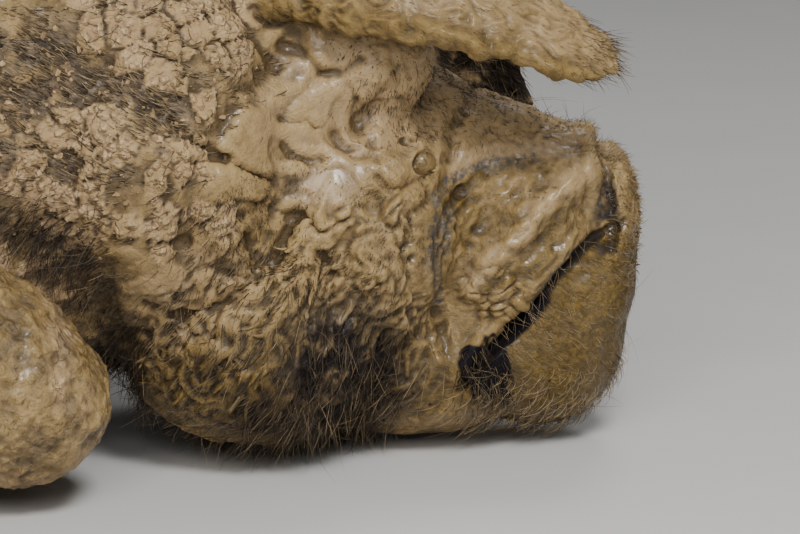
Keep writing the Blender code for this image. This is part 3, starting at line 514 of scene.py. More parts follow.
def clay(name, pieces, cell, smoothing):
    """Pieces pressed into one smooth closed body."""
    form = bmesh.new()
    for piece in pieces:
        form.from_mesh(piece.data)
    remove(*pieces)
    obj = from_bmesh(form, name)
    melt = obj.modifiers.new("melt", "REMESH")
    melt.mode = "VOXEL"
    melt.voxel_size = cell
    soften = obj.modifiers.new("soften", "SMOOTH")
    soften.factor = 0.5
    soften.iterations = smoothing
    return baked(obj)


def without(obj, cutters):
    """The object with a collection of closed meshes cut out of it."""
    tools = bpy.data.collections.new("cutters")
    bpy.context.scene.collection.children.link(tools)
    for cutter in cutters:
        tools.objects.link(cutter)
    step = obj.modifiers.new("cut", "BOOLEAN")
    step.operation = "DIFFERENCE"
    step.solver = "MANIFOLD"
    step.operand_type = "COLLECTION"
    step.collection = tools
    made = baked(obj)
    bpy.data.collections.remove(tools)
    remove(*cutters)
    return made


def corner_values(mesh, kind):
    found = np.zeros(len(mesh.vertices) * 3, dtype=np.float32)
    mesh.vertices.foreach_get(kind, found)
    return found.reshape(-1, 3).astype(np.float64)


def points_of(mesh):
    return corner_values(mesh, "co")


def normals_of(mesh):
    return corner_values(mesh, "normal")


def move_points(mesh, points):
    mesh.vertices.foreach_set("co", points.astype(np.float32).ravel())
    mesh.update()


def push_out(mesh, amount):
    """Moves each corner along its normal by an amount in metres."""
    move_points(mesh, points_of(mesh) + normals_of(mesh) * amount[:, None])


def facing_aside(mesh):
    """1 where the skin faces to the side, 0 where it faces ahead, up or down."""
    return np.clip(np.abs(normals_of(mesh)[:, 1]) * 2.0 - 0.2, 0.0, 1.0)


def search_tree(obj):
    """The object's surface in centimetres, to be searched; the object goes."""
    tree = BVHTree.FromPolygons([v.co / CM for v in obj.data.vertices],
                                [list(f.vertices) for f in obj.data.polygons])
    remove(obj)
    return tree


def smoothstep(low, high, values):
    share = np.clip((values - low) / (high - low), 0.0, 1.0)
    return share * share * (3.0 - 2.0 * share)


def distance_to_line(places, line):
    """Distance from each place to the nearest stretch of a line, in any number of dimensions."""
    nearest = np.full(len(places), 1e9)
    line = np.array(line, dtype=float)
    for start, end in zip(line, line[1:]):
        along = end - start
        share = np.clip(((places - start) @ along) / (along @ along), 0.0, 1.0)
        gap = np.linalg.norm(places - start - share[:, None] * along, axis=1)
        nearest = np.minimum(nearest, gap)
    return nearest


def profile(points):
    return points[:, [0, 2]]


def slanted(points):
    """Places in slanted profile, the same for both sides of the head."""
    height = points[:, 2] * math.cos(SLANT) - np.abs(points[:, 1]) * math.sin(SLANT)
    return np.stack([points[:, 0], height], axis=1)


def region(places, name, edge):
    """How far each place in slanted profile belongs to a named region, 0 to 1."""
    centre, radii = REGIONS[name]
    reach = np.linalg.norm((places - np.array(centre)) / np.array(radii), axis=1)
    return smoothstep(1.0 + edge, 1.0 - edge, reach)


def most(*shares):
    """The largest of several shares at each place."""
    return np.maximum.reduce(shares)


def hashed(cells, seed):
    """A whole number for each lattice cell."""
    mixed = cells[:, 0] * 73856093 ^ cells[:, 1] * 19349663 ^ cells[:, 2] * 83492791 ^ (seed * 2654435761)
    mixed = (mixed ^ (mixed >> 13)) * 1274126177 & 0xFFFFFFFF
    return mixed ^ (mixed >> 16)


GRADIENTS = np.random.default_rng(SEED).normal(size=(256, 3))
GRADIENTS /= np.linalg.norm(GRADIENTS, axis=1)[:, None]


def noise(points, size, seed=0):
    """Smooth noise, about -1 to 1, with lumps of that size."""
    places = points / size + seed * 7.13
    low = np.floor(places).astype(np.int64)
    part = places - low
    ease = part ** 3 * (part * (part * 6.0 - 15.0) + 10.0)
    total = np.zeros(len(points))
    for corner in np.ndindex(2, 2, 2):
        step = np.array(corner)
        slope = GRADIENTS[hashed(low + step, seed) & 255]
        weight = np.prod(np.where(step, ease, 1.0 - ease), axis=1)
        total += weight * np.einsum("ij,ij->i", slope, part - step)
    return total * 1.7


def rough_noise(points, size, octaves, seed=0):
    """Noise with finer and fainter lumps added."""
    total = np.zeros(len(points))
    for k in range(octaves):
        total += noise(points, size / 2.0 ** k, seed + k) * 0.55 ** k
    return total


def swing(points, size):
    """How far each place is bent aside, so that borders become uneven."""
    return np.stack([noise(points, size, seed) for seed in SWING_SEEDS], axis=1)


def cracks(points, size, seed=0):
    """Distance from each place to the border of its cell among scattered cells, its draw and its middle."""
    places = points / size
    low = np.floor(places).astype(np.int64)
    first = np.full(len(points), 9.0)
    second = first.copy()
    draw = np.zeros(len(points))
    middle = points.copy()
    for step in np.ndindex(3, 3, 3):
        cell = low + np.array(step) - 1
        code = hashed(cell, seed)
        spot = cell + np.stack([code & 255, code >> 8 & 255, code >> 16 & 255], axis=1) / 255.0
        gap = np.linalg.norm(places - spot, axis=1)
        nearer = gap < first
        second = np.where(nearer, first, np.minimum(second, gap))
        draw = np.where(nearer, (code >> 20 & 255) / 255.0, draw)
        middle = np.where(nearer[:, None], spot * size, middle)
        first = np.where(nearer, gap, first)
    return (second - first) * size, draw, middle


def mirrored(places, side):
    return tuple(((x, y * side, z), *rest) for (x, y, z), *rest in places)


def shifted(places, by):
    return tuple(((x + by, y, z), *rest) for (x, y, z), *rest in places)


def disc_rings():
    centre = Vector(DISC_CENTRE)
    turn = Matrix.Rotation(math.radians(-DISC_TILT), 3, "Y")
    rings = []
    for depth, share in DISC_RINGS:
        ring = []
        for i in range(DISC_SIDES):
            angle = 2.0 * math.pi * (i + 0.5) / DISC_SIDES
            wide = DISC_HALF_WIDTH * share * roundness(DISC_SIDES)
            tall = DISC_HALF_HEIGHT * share * roundness(DISC_SIDES)
            up = math.sin(angle)
            narrow = 1.0 - 0.12 * max(0.0, -up)
            ring.append(centre + turn @ Vector((depth, wide * math.cos(angle) * narrow, tall * up)))
        rings.append(ring)
    return rings


def frame_shift():
    """From the tables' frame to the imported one, read off the snout disc."""
    plain = ring_cage("disc", disc_rings(), levels=1)
    high = points_of(plain.data).max(0)
    remove(plain)
    return np.array([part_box("snout_disc")[1][0] - high[0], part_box("snout_disc")[1][1] - high[1], 0.0])


def snout_disc():
    """The disc of the nose with its two nostrils."""
    disc = ring_cage("disc", disc_rings(), levels=2)
    turn = Matrix.Rotation(math.radians(-DISC_TILT), 4, "Y")
    holes = []
    for side in (-1, 1):
        form = bmesh.new()
        bmesh.ops.create_cone(form, cap_ends=True, segments=16, radius1=0.8, radius2=1.05, depth=1.0)
        size = Matrix.Diagonal((NOSTRIL_RADII[1] * CM, NOSTRIL_RADII[0] * CM, NOSTRIL_DEPTH * 2 * CM, 1.0))
        lay = Matrix.Rotation(math.radians(90), 4, "Y")
        spot = Vector((1.0, side * NOSTRIL_PLACE[0], NOSTRIL_PLACE[1]))
        place = Matrix.Translation(Vector(DISC_CENTRE) * CM) @ turn @ Matrix.Translation(spot * CM)
        bmesh.ops.transform(form, matrix=place @ lay @ size, verts=form.verts)
        holes.append(from_bmesh(form, "nostril"))
    return without(disc, holes)


def mouth_slots():
    """Wedges that part the lips on both sides."""
    line = [np.array(p) for p, _ in OPENING]
    upper, lower = [], []
    for i, (point, half) in enumerate(zip(line, (h for _, h in OPENING))):
        along = line[min(i + 1, len(line) - 1)] - line[max(i - 1, 0)]
        square = np.array([-along[1], along[0]]) / np.linalg.norm(along)
        upper.append(point - square * half)
        lower.append(point + square * half)
    outline = upper + lower[::-1]
    slots = []
    for inner, outer in ((MOUTH_WALL, 14.0), (-14.0, -MOUTH_WALL)):
        form = bmesh.new()
        near = [form.verts.new(Vector((x, inner, z)) * CM) for x, z in outline]
        far = [form.verts.new(Vector((x, outer, z)) * CM) for x, z in outline]
        form.faces.new(near)
        form.faces.new(list(reversed(far)))
        for i in range(len(outline)):
            j = (i + 1) % len(outline)
            form.faces.new((near[j], near[i], far[i], far[j]))
        bmesh.ops.triangulate(form, faces=form.faces)
        slots.append(from_bmesh(form, "slot"))
    return slots


def ear_sheet(name, line, across):
    """A cupped leaf round its middle line."""
    across = Vector(across).normalized()
    points = [Vector(p) for p, _ in line]
    form = bmesh.new()
    rows = []
    for i, (point, (_, width)) in enumerate(zip(points, line)):
        ahead = (points[min(i + 1, len(points) - 1)] - points[max(i - 1, 0)]).normalized()
        edge = (across - ahead * across.dot(ahead)).normalized()
        out = ahead.cross(edge).normalized()
        out = out if out.z > 0 else -out
        row = []
        for k in range(EAR_ACROSS_STEPS + 1):
            share = 2.0 * k / EAR_ACROSS_STEPS - 1.0
            place = point + edge * width * share - out * EAR_CURL * width * 2.0 * share * share
            row.append(form.verts.new(place * CM))
        rows.append(row)
    for first, second in zip(rows, rows[1:]):
        for k in range(EAR_ACROSS_STEPS):
            form.faces.new((first[k], first[k + 1], second[k + 1], second[k]))
    sheet = from_bmesh(form, name)
    thick = sheet.modifiers.new("thick", "SOLIDIFY")
    thick.thickness = EAR_THICKNESS * CM
    thick.offset = 0.0
    rounding = sheet.modifiers.new("rounding", "SUBSURF")
    rounding.levels = rounding.render_levels = 2
    return baked(sheet)


def limb_lines():
    """Every limb's middle line with its name."""
    lines = []
    for side, word in SIDES:
        fore = LEFT_FORELEG_SHIFT if side > 0 else 0.0
        hind = LEFT_HINDLEG_SHIFT if side > 0 else 0.0
        for name, line, by in (("forearm", FOREARM, fore), ("fore_cannon", FORE_CANNON, fore),
                               ("shank", SHANK, hind), ("hind_cannon", HIND_CANNON, hind)):
            lines.append((f"{name}_{word}", shifted(mirrored(line, side), by)))
    return lines


def balls(name, rows):
    """Ellipsoids from rows of centre, radii and tilt. Those off the middle come in pairs."""
    made = []
    for (x, y, z), radii, tilt in rows:
        for side in (-1, 1) if y else (1,):
            made.append(ball(name, (x, y * side, z), radii, tilt))
    return made


def trunk_clay(opened=True):
    trunk = ring_cage("trunk", [trunk_ring(*row) for row in TRUNK], levels=3)
    body = clay("body", [trunk, *balls("mass", MASSES)], TRUNK_CELL, 10)
    if not opened:
        return body
    groove(body.data, MOUTH, *LIP_GROOVE)
    return without(body, mouth_slots())


def lip_clay():
    lip = without(clay("lip", balls("lip", LOWER_LIP), LIP_CELL, 3), [ball("dip", *LIP_DIP)])
    room = ring_cage("room", disc_rings(), levels=2)
    push_out(room.data, np.full(len(room.data.vertices), CREVICE))
    return without(clay("lip", [lip], LIP_CELL, 10), [room])


def groove(mesh, line, reach, depth, places=profile):
    """Presses a groove along a line that is given in profile, on both sides."""
    gap = distance_to_line(places(points_of(mesh) / CM), line)
    push_out(mesh, -(depth * CM * np.exp(-((gap / reach) ** 2))))


def bare_skin(cell):
    """Trunk, head, ears, legs and tail grown together as one skin."""
    pieces = [trunk_clay(), lip_clay(), snout_disc()]
    pieces.append(ear_sheet("ear", EAR_RIGHT, EAR_RIGHT_ACROSS))
    pieces.append(ear_sheet("ear", EAR_LEFT, EAR_LEFT_ACROSS))
    for name, line in limb_lines():
        pieces.append(clay(name, [ring_cage(name, tube_rings(line))], LIMB_CELL, 6))
    pieces.append(ring_cage("tail", tube_rings(TAIL)))
    return clay(SKIN_NAME, pieces, cell, 2)


def edges_of(mesh):
    found = np.zeros(len(mesh.edges) * 2, dtype=np.int32)
    mesh.edges.foreach_get("vertices", found)
    return found.reshape(-1, 2)


def averaged(values, edges, rounds):
    """Each corner's values drawn towards those of its neighbours."""
    count = np.maximum(np.bincount(edges.ravel(), minlength=len(values)), 1)
    for _ in range(rounds):
        total = np.empty_like(values)
        for k in range(values.shape[1]):
            total[:, k] = np.bincount(edges[:, 0], values[edges[:, 1], k], len(values))
            total[:, k] += np.bincount(edges[:, 1], values[edges[:, 0], k], len(values))
        values = (values + total / count[:, None]) / 2.0
    return values


def refined(skin, beyond, spared=None):
    """The skin, with every face in front of that place split and smoothed, save near a spared line."""
    points = points_of(skin.data)
    keep = points[:, 0] > beyond
    if spared is not None:
        keep &= distance_to_line(points / CM, spared) > SPARED_REACH
    form = bmesh.new()
    form.from_mesh(skin.data)
    edges = [e for e in form.edges if keep[e.verts[0].index] and keep[e.verts[1].index]]
    bmesh.ops.subdivide_edges(form, edges=edges, cuts=1, use_grid_fill=True)
    form.to_mesh(skin.data)
    form.free()
    points = points_of(skin.data)
    smooth = averaged(points, edges_of(skin.data), 3)
    share = smoothstep(beyond, beyond + 0.02, points[:, 0])[:, None]
    move_points(skin.data, points + (smooth - points) * share)
    return skin


def across_ear(points, line, across):
    """Where each place lies across an ear: -1 at its inner edge, 1 at its outer edge."""
    nearest = np.full(len(points), 1e9)
    found = np.zeros(len(points))
    across = np.array(across) / np.linalg.norm(across)
    for (start, wide), (end, wider) in zip(line, line[1:]):
        start = np.array(start)
        along = np.array(end) - start
        share = np.clip((points - start) @ along / (along @ along), 0.0, 1.0)
        foot = start + share[:, None] * along
        gap = np.linalg.norm(points - foot, axis=1)
        edge = across - along * (across @ along) / (along @ along)
        edge /= np.linalg.norm(edge)
        lateral = np.einsum("ij,j->i", points - foot, edge) / (wide + (wider - wide) * share)
        found = np.where(gap < nearest, lateral, found)
        nearest = np.minimum(nearest, gap)
    return found


def near_ears(points, reach):
    """How far each place belongs to an ear, 0 to 1, how far along it lies and where across it."""
    belongs = np.zeros(len(points))
    along = np.zeros(len(points))
    lateral = np.zeros(len(points))
    close = np.all(np.abs(points) > EAR_ZONE, axis=1) & (points[:, 0] > 0.0)
    for line, across in ((EAR_RIGHT, EAR_RIGHT_ACROSS), (EAR_LEFT, EAR_LEFT_ACROSS)):
        rows = np.nonzero(close & (points[:, 1] * line[0][0][1] > 0.0))[0]
        tree = search_tree(ear_sheet("near", line, across))
        gaps = [tree.find_nearest(Vector(points[i]), reach * 3.0)[3] for i in rows]
        gaps = np.array([9.0 if gap is None else gap for gap in gaps])
        root, tip = np.array(line[0][0]), np.array(line[-1][0])
        share = (points[rows] - root) @ (tip - root) / ((tip - root) @ (tip - root))
        belongs[rows] = smoothstep(reach, reach * 0.4, gaps) * smoothstep(0.02, 0.2, share)
        along[rows] = share
        lateral[rows] = across_ear(points[rows], line, across)
    return belongs, np.clip(along, 0.0, 1.0), lateral


def leg_share(points):
    """How far each place belongs to a leg, 0 to 1."""
    share = np.zeros(len(points))
    for _, line in limb_lines():
        gap = distance_to_line(points, [p for p, _ in line])
        radius = max(r for _, r in line)
        share = np.maximum(share, smoothstep(radius * 1.35, radius * 1.0, gap))
    return share


def plates_on(points, warp):
    """The plates of dried mud: how far each place is on one, its draw, and how far it is in a gap."""
    rim, draw, middle = cracks(points + warp * 0.55, 2.1, 4)
    places = slanted(middle)
    cover = np.maximum(region(places, "upper_plates", 0.35), region(places, "lower_plates", 0.45) * 0.62)
    patch = rough_noise(middle, 8.0, 2, 11)
    height = middle[:, 2] + patch * 7.0
    body = smoothstep(27.0, 22.0, middle[:, 0])
    cover = np.maximum(cover, body * smoothstep(-0.1, 0.3, patch) * smoothstep(9.0, 19.0, height) * 0.92)
    cover *= smoothstep(47.0, 43.0, middle[:, 0])
    present = (draw < cover).astype(float)
    return present * smoothstep(0.03, 0.18, rim), draw, present * smoothstep(0.16, 0.05, rim)


def markings(points, depth):
    """The state of the mud at each place, and where shade, glints and highlights are painted, as shares from
    0 to 1, the same for skin and coat.
    """
    x, places, below = points[:, 0], slanted(points), below_mouth(points)
    ear, ear_along, ear_across = near_ears(points, EAR_REACH)
    leg = leg_share(points)
    off_ear = 1.0 - ear
    patch = rough_noise(points, 7.0, 3, 11)
    fray = rough_noise(points, 1.6, 3, 23)

    def area(name, edge):
        return region(places, name, edge)

    def ragged(low, high):
        return smoothstep(low, high, fray)

    def band(line, outer, inner, fraying):
        return smoothstep(outer, inner, distance_to_line(places, line) + fray * fraying)

    temple = area("temple", 0.2) * off_ear
    plate, draw, between = plates_on(points, swing(points, 2.6))
    plate *= off_ear * (1.0 - temple)
    dry = np.clip(plate + leg * smoothstep(0.1, 0.45, patch) * 0.7, 0.0, 1.0)

    flank = smoothstep(28.0, 24.0, x)
    open_back = smoothstep(0.12, -0.12, patch) * flank * smoothstep(6.0, 16.0, points[:, 2])
    bare = most(area("neck_hair", 0.3) * ragged(0.75, 0.0), open_back,
                area("throat", 0.3) * ragged(0.8, 0.1),
                area("dark_jowl", 0.4) * ragged(0.7, 0.0),
                area("jowl", 0.2) * ragged(0.0, 0.5) * 0.5,
                between * (1.0 - temple) * 0.8)
    bare *= (1.0 - leg) * off_ear * (1.0 - plate)
    # The far ear is painted dark as if in shade, as dark hide here and as black below.
    far_ear = ear * (points[:, 1] > 0.0) * ragged(0.75, 0.1)
    bare = most(bare, far_ear * 0.9, leg * ragged(-0.2, 0.5) * 0.5,
                area("damp", 0.4) * (0.3 + 0.3 * fray) * off_ear)

    chin = area("chin", 0.16) * smoothstep(-0.3, 0.3, below)
    low = smoothstep(9.5, 3.5, places[:, 1] + fray * 1.2) * smoothstep(33.0, 38.0, x)
    low = low * smoothstep(0.3, -0.3, below - 2.0 * (x < 54.0)) * 0.75
    deep = area("jowl", 0.3) * ragged(-0.6, 0.2) * smoothstep(9.5, 5.0, places[:, 1])
    side = area("muzzle", 0.3) * (0.55 + 0.6 * fray)
    ochre = most(chin, low, deep * 0.8, np.clip(side, 0.0, 0.9), leg * (0.1 + 0.3 * ragged(-0.1, 0.4)))
    drip = ear * (points[:, 1] < 0.0) * (0.1 + 0.5 * smoothstep(0.3, 0.8, ear_across + fray * 0.25))

    # Painted grey glints and shade: along the folds of the muzzle, in the lip crevice, along the seam and in
    # the muzzle's hollow.
    crevice = area("lip_crevice", 0.5)
    grey = most(band(GLINT_LINE, 0.55, 0.1, 0.3) * 0.9,
                band(INNER_GLINT, 0.55, 0.1, 0.3) * 0.9,
                crevice * ragged(-0.3, 0.4) * 0.9,
                band(SEAM_GLINT, 0.5, 0.15, 0.2) * 0.8,
                band(MUZZLE_HOLLOW, 1.1, 0.3, -0.3) * ragged(-0.1, 0.5) * 0.45)

    # Inside of the mouth, which is painted in shade.
    inside = smoothstep(0.25, 0.75, depth)
    drips = noise(points * np.array([1.0, 1.0, 0.16]), 0.35, 5) * smoothstep(5.6, 3.8, places[:, 1])
    corner = smoothstep(0.55, 0.7, area("mouth_corner", 0.5) + drips * 0.6 + fray * 0.4) * (1.0 - inside)
    shade = smoothstep(-0.1, 0.12, below) * smoothstep(1.15, 0.5, below + fray * 0.25) * 0.72
    shade *= smoothstep(57.0, 58.0, x) * smoothstep(64.2, 63.2, x)
    low_hair_and_shade = smoothstep(7.5, 4.5, points[:, 2] + fray * 1.2) * smoothstep(38.0, 42.0, x)
    # Black: the real wet hair at the mouth's corner, and painted shade under the upper lip, in the lip
    # crevice, in the opening of the mouth, on the dark jowl, the throat and the lower jowl.
    black = most(corner, shade, crevice * ragged(-0.5, 0.2) * 0.7,
                 band(OPEN_SHADE, 0.8, 0.45, 0.25) * (1.0 - smoothstep(-0.05, -0.5, below)),
                 area("dark_jowl", 0.45) * ragged(0.5, -0.1) * 0.9,
                 area("throat", 0.3) * ragged(1.1, 0.3) * 0.9,
                 area("jowl", 0.3) * low_hair_and_shade * 0.85)
    # Painted shade on the far ear and along the near ear's lower edge.
    black = most(black * off_ear * (1.0 - leg), far_ear * 0.8,
                 ear * smoothstep(0.8, 1.1, ear_across + fray * 0.15) * 0.4)

    # Pale taupe mud on the jowl, bridge and ear, and painted light: a sheen along the muzzle's top, a
    # highlight along the upper lip's ridge, and paler temple and brow where the ear's shadow falls.
    taupe = most(band(NOSE_SHEEN, 0.9, 0.3, 0.3) * 0.8,
                 band(RIDGE_HIGHLIGHT, 1.1, 0.25, 0.4) * 0.65,
                 temple * (0.55 + 0.3 * patch),
                 area("jowl_mud", 0.4) * (0.5 + 0.4 * fray),
                 area("stubble", 0.4) * (0.5 + 0.3 * fray)) * off_ear
    taupe = most(taupe, area("bridge", 0.4) * (0.4 + 0.4 * fray)) * off_ear
    taupe = most(taupe, ear * (0.3 + 0.4 * fray) * smoothstep(0.8, 0.5, ear_across))

    wet = np.clip(0.45 + temple * 0.4 + ochre * 0.3 + leg * 0.1 + smoothstep(0.0, 0.5, -patch) * 0.3, 0, 1)
    wet *= 1.0 - 0.8 * smoothstep(1.1, 0.5, distance_to_line(profile(points), MOUTH[2:]))
    wet *= (1.0 - dry) * (1.0 - 0.7 * most(bare, black)) * (1.0 - 0.6 * area("bridge", 0.4))
    wet *= 1.0 - 0.45 * ear
    return {"ear": ear, "ear_along": ear_along, "ear_across": ear_across, "leg": leg, "dry": dry,
            "bare": bare, "ochre": most(ochre * off_ear, drip), "grey": grey * off_ear, "inside": inside,
            "corner": corner, "black": black, "taupe": taupe, "wet": wet, "temple": temple,
            "plate": plate, "plate_draw": draw, "chin": chin}


def below_mouth(points):
    """How far each place lies below the mouth line in profile, in centimetres."""
    line = np.array(MOUTH[::-1])
    return np.interp(points[:, 0], line[:, 0], line[:, 1]) - points[:, 2]


def depth_inside(points):
    """How deep each place near the mouth lies under the head as it was before the mouth was opened."""
    tree = search_tree(trunk_clay(opened=False))
    depth = np.zeros(len(points))
    back, front, top = MOUTH_ZONE
    near = (points[:, 0] > back) & (points[:, 0] < front) & (points[:, 2] < top)
    for i in np.nonzero(near)[0]:
        spot, normal, _, gap = tree.find_nearest(Vector(points[i]), 4.0)
        if spot is not None and normal.dot(Vector(points[i]) - spot) < 0.0:
            depth[i] = gap
    return depth


def slanting_noise(points, rise, size, long, seed):
    """Noise drawn out along a slope in profile, which rises by that many degrees towards the snout."""
    along, up = math.cos(math.radians(rise)), math.sin(math.radians(rise))
    drawn = np.stack([(points[:, 0] * along + points[:, 2] * up) / long, points[:, 1],
                      points[:, 2] * along - points[:, 0] * up], axis=1)
    return noise(drawn, size, seed)


def relief(points, marks):
    """How far the mud stands off the hide at each place, in centimetres."""
    places = slanted(points)
    warp = swing(points, 2.2)
    warped = points + warp * 0.9
    off_ear = 1.0 - marks["ear"]
    temple = marks["temple"]
    cheek = region(places, "cheek", 0.35) * off_ear * (1.0 - temple)
    jowl = region(places, "jowl", 0.25) * off_ear
    muzzle = region(places, "muzzle", 0.25)
    chin = marks["chin"]
    rest = np.clip(1.0 - temple - cheek - jowl - muzzle - chin - marks["ear"], 0.0, 1.0)

    height = rough_noise(points, 6.0, 2, 3) * 0.14
    flow = noise(warped, 2.7, 7)
    sheets = smoothstep(-0.12, 0.08, flow) * 0.16 + flow * 0.14
    height += sheets * (temple * 0.8 + cheek * 1.2 + rest * 0.7 + jowl * 0.8)
    rim, draw, _ = cracks(points + warp * 1.35, 1.45, 9)
    domes = smoothstep(0.0, 0.75, rim) * (0.12 + 0.34 * draw)
    domes = domes * (0.3 + 0.7 * smoothstep(-0.3, 0.3, noise(points, 3.0, 44)))
    height += domes * (cheek + jowl * 0.35 + rest * 0.3 + temple * 0.1)
    height += noise(warped, 0.75, 10) * 0.10 * (cheek + rest * 0.6 + jowl * 0.5 + temple * 0.15)
    tongues = slanting_noise(warped, JOWL_SLOPE, 0.5, 3.2, 21)
    height += smoothstep(-0.25, 0.35, tongues) * 0.32 * jowl + noise(warped, 1.7, 46) * 0.22 * jowl
    height += noise(points, 0.4, 22) * 0.05 * (jowl + cheek)
    slopes = slanting_noise(points + warp * 0.3, MUZZLE_SLOPE, 0.5, 3.2, 24)
    height += (slopes * 0.13 + noise(warped, 1.2, 17) * 0.16 + noise(points, 0.45, 18) * 0.05) * muzzle
    lumps = region(places, "muzzle_lumps", 0.5)
    edge, drawn, _ = cracks(warped * np.array([0.5, 1.0, 1.15]), 0.8, 25)
    height += lumps * smoothstep(0.0, 0.3, edge) * (0.1 + 0.34 * drawn)
    height += slanting_noise(points, CHIN_SLOPE, 0.16, 5.0, 26) * 0.035 * chin
    height += noise(points, 0.9, 27) * 0.06 * chin

    fine, part, _ = cracks(points + warp * 0.3, 0.72, 6)
    low = region(places, "lower_plates", 0.5)
    plate = 0.22 + 0.16 * marks["plate_draw"] + noise(points, 0.5, 28) * 0.05
    plate -= smoothstep(0.10, 0.0, fine) * (0.08 + 0.10 * low)
    plate += (part - 0.5) * 0.14 * low + np.abs(noise(points, 0.22, 47)) * 0.06
    height = height * (1.0 - marks["plate"] * 0.7) + plate * marks["plate"]
    streak = slanting_noise(points, HAIR_SLOPE, 0.22, 5.0, 14) * 0.05
    height += (streak - 0.10) * marks["bare"]

    ridges = slanting_noise(warped, EAR_SLOPE, 0.34, 6.0, 15)
    ridges = ridges * (0.09 + 0.14 * smoothstep(0.6, 0.2, marks["ear_along"])) + noise(warped, 1.5, 16) * 0.2
    middle, width, roll = EAR_ROLL
    rolled = roll * np.exp(-(((marks["ear_across"] - middle) / width) ** 2))
    rolled = rolled * (0.8 + 0.9 * noise(points, 1.3, 29))
    height = height * off_ear + (ridges + rolled) * marks["ear"]

    height += noise(points, 0.42, 19) * 0.02 * (1.0 - temple * 0.7)
    height += (rough_noise(warped, 2.8, 3, 20) * 0.22 + noise(points, 0.5, 48) * 0.07) * marks["leg"]
    crumbly = smoothstep(0.38, 0.6, noise(points, 0.55, 30)) * 0.12
    height += crumbly * (marks["bare"] * 0.7 + rest * 0.5) * (points[:, 0] > 20.0)
    height *= 1.0 - 0.9 * marks["inside"]
    height *= 1.0 - 0.6 * smoothstep(1.3, 0.9, eye_gap(points))
    feet = smoothstep(1.6, 0.2, points[:, 2])
    return height * (1.0 - feet * 0.7)


def eye_gap(points):
    """Distance in profile from the middle of the eye."""
    return np.linalg.norm(profile(points) - np.array(EYE_XZ), axis=1)


def raise_lids(mesh):
    """Lids that close round each eye from above and below, over a socket."""
    points = points_of(mesh) / CM
    offset = profile(points) - np.array(EYE_XZ)
    reach = np.linalg.norm(offset / np.array(LID_RADII), axis=1)
    unevenness = 1.0 + 0.5 * noise(points, 0.8, 41)
    lid = LID_HEIGHT * smoothstep(0.72, 1.0, reach) * smoothstep(1.9, 1.05, reach) * unevenness
    above = smoothstep(0.0, 0.4, offset[:, 1])
    upper = 0.14 * smoothstep(1.0, 1.2, reach) * smoothstep(2.0, 1.4, reach) * above
    socket = -EYE_SINK * smoothstep(0.95, 0.7, reach)
    push_out(mesh, (lid + upper + socket) * facing_aside(mesh) * CM)


def press_details(mesh):
    """The single forms of the face, on both sides."""
    places = slanted(points_of(mesh) / CM)
    height = np.zeros(len(places))
    for centre, radii, rise in DETAILS:
        reach = np.linalg.norm((places - np.array(centre)) / np.array(radii), axis=1)
        height += rise * smoothstep(1.35, 0.45, reach)
    push_out(mesh, height * facing_aside(mesh) * CM)


def store(mesh, name, values):
    layer = mesh.attributes.new(name, "FLOAT", "POINT")
    layer.data.foreach_set("value", values.astype(np.float32))


def stored(mesh, name):
    found = np.zeros(len(mesh.vertices), dtype=np.float32)
    mesh.attributes[name].data.foreach_get("value", found)
    return found.astype(np.float64)


def finish_piece(obj, material):
    """Moves a piece from the tables' frame onto the solids, and gives it its material and body."""
    move_points(obj.data, points_of(obj.data) + SHIFT)
    obj.data.materials.clear()
    obj.data.materials.append(material)
    obj.data.shade_smooth()
    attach(obj, BODY)


# Materials


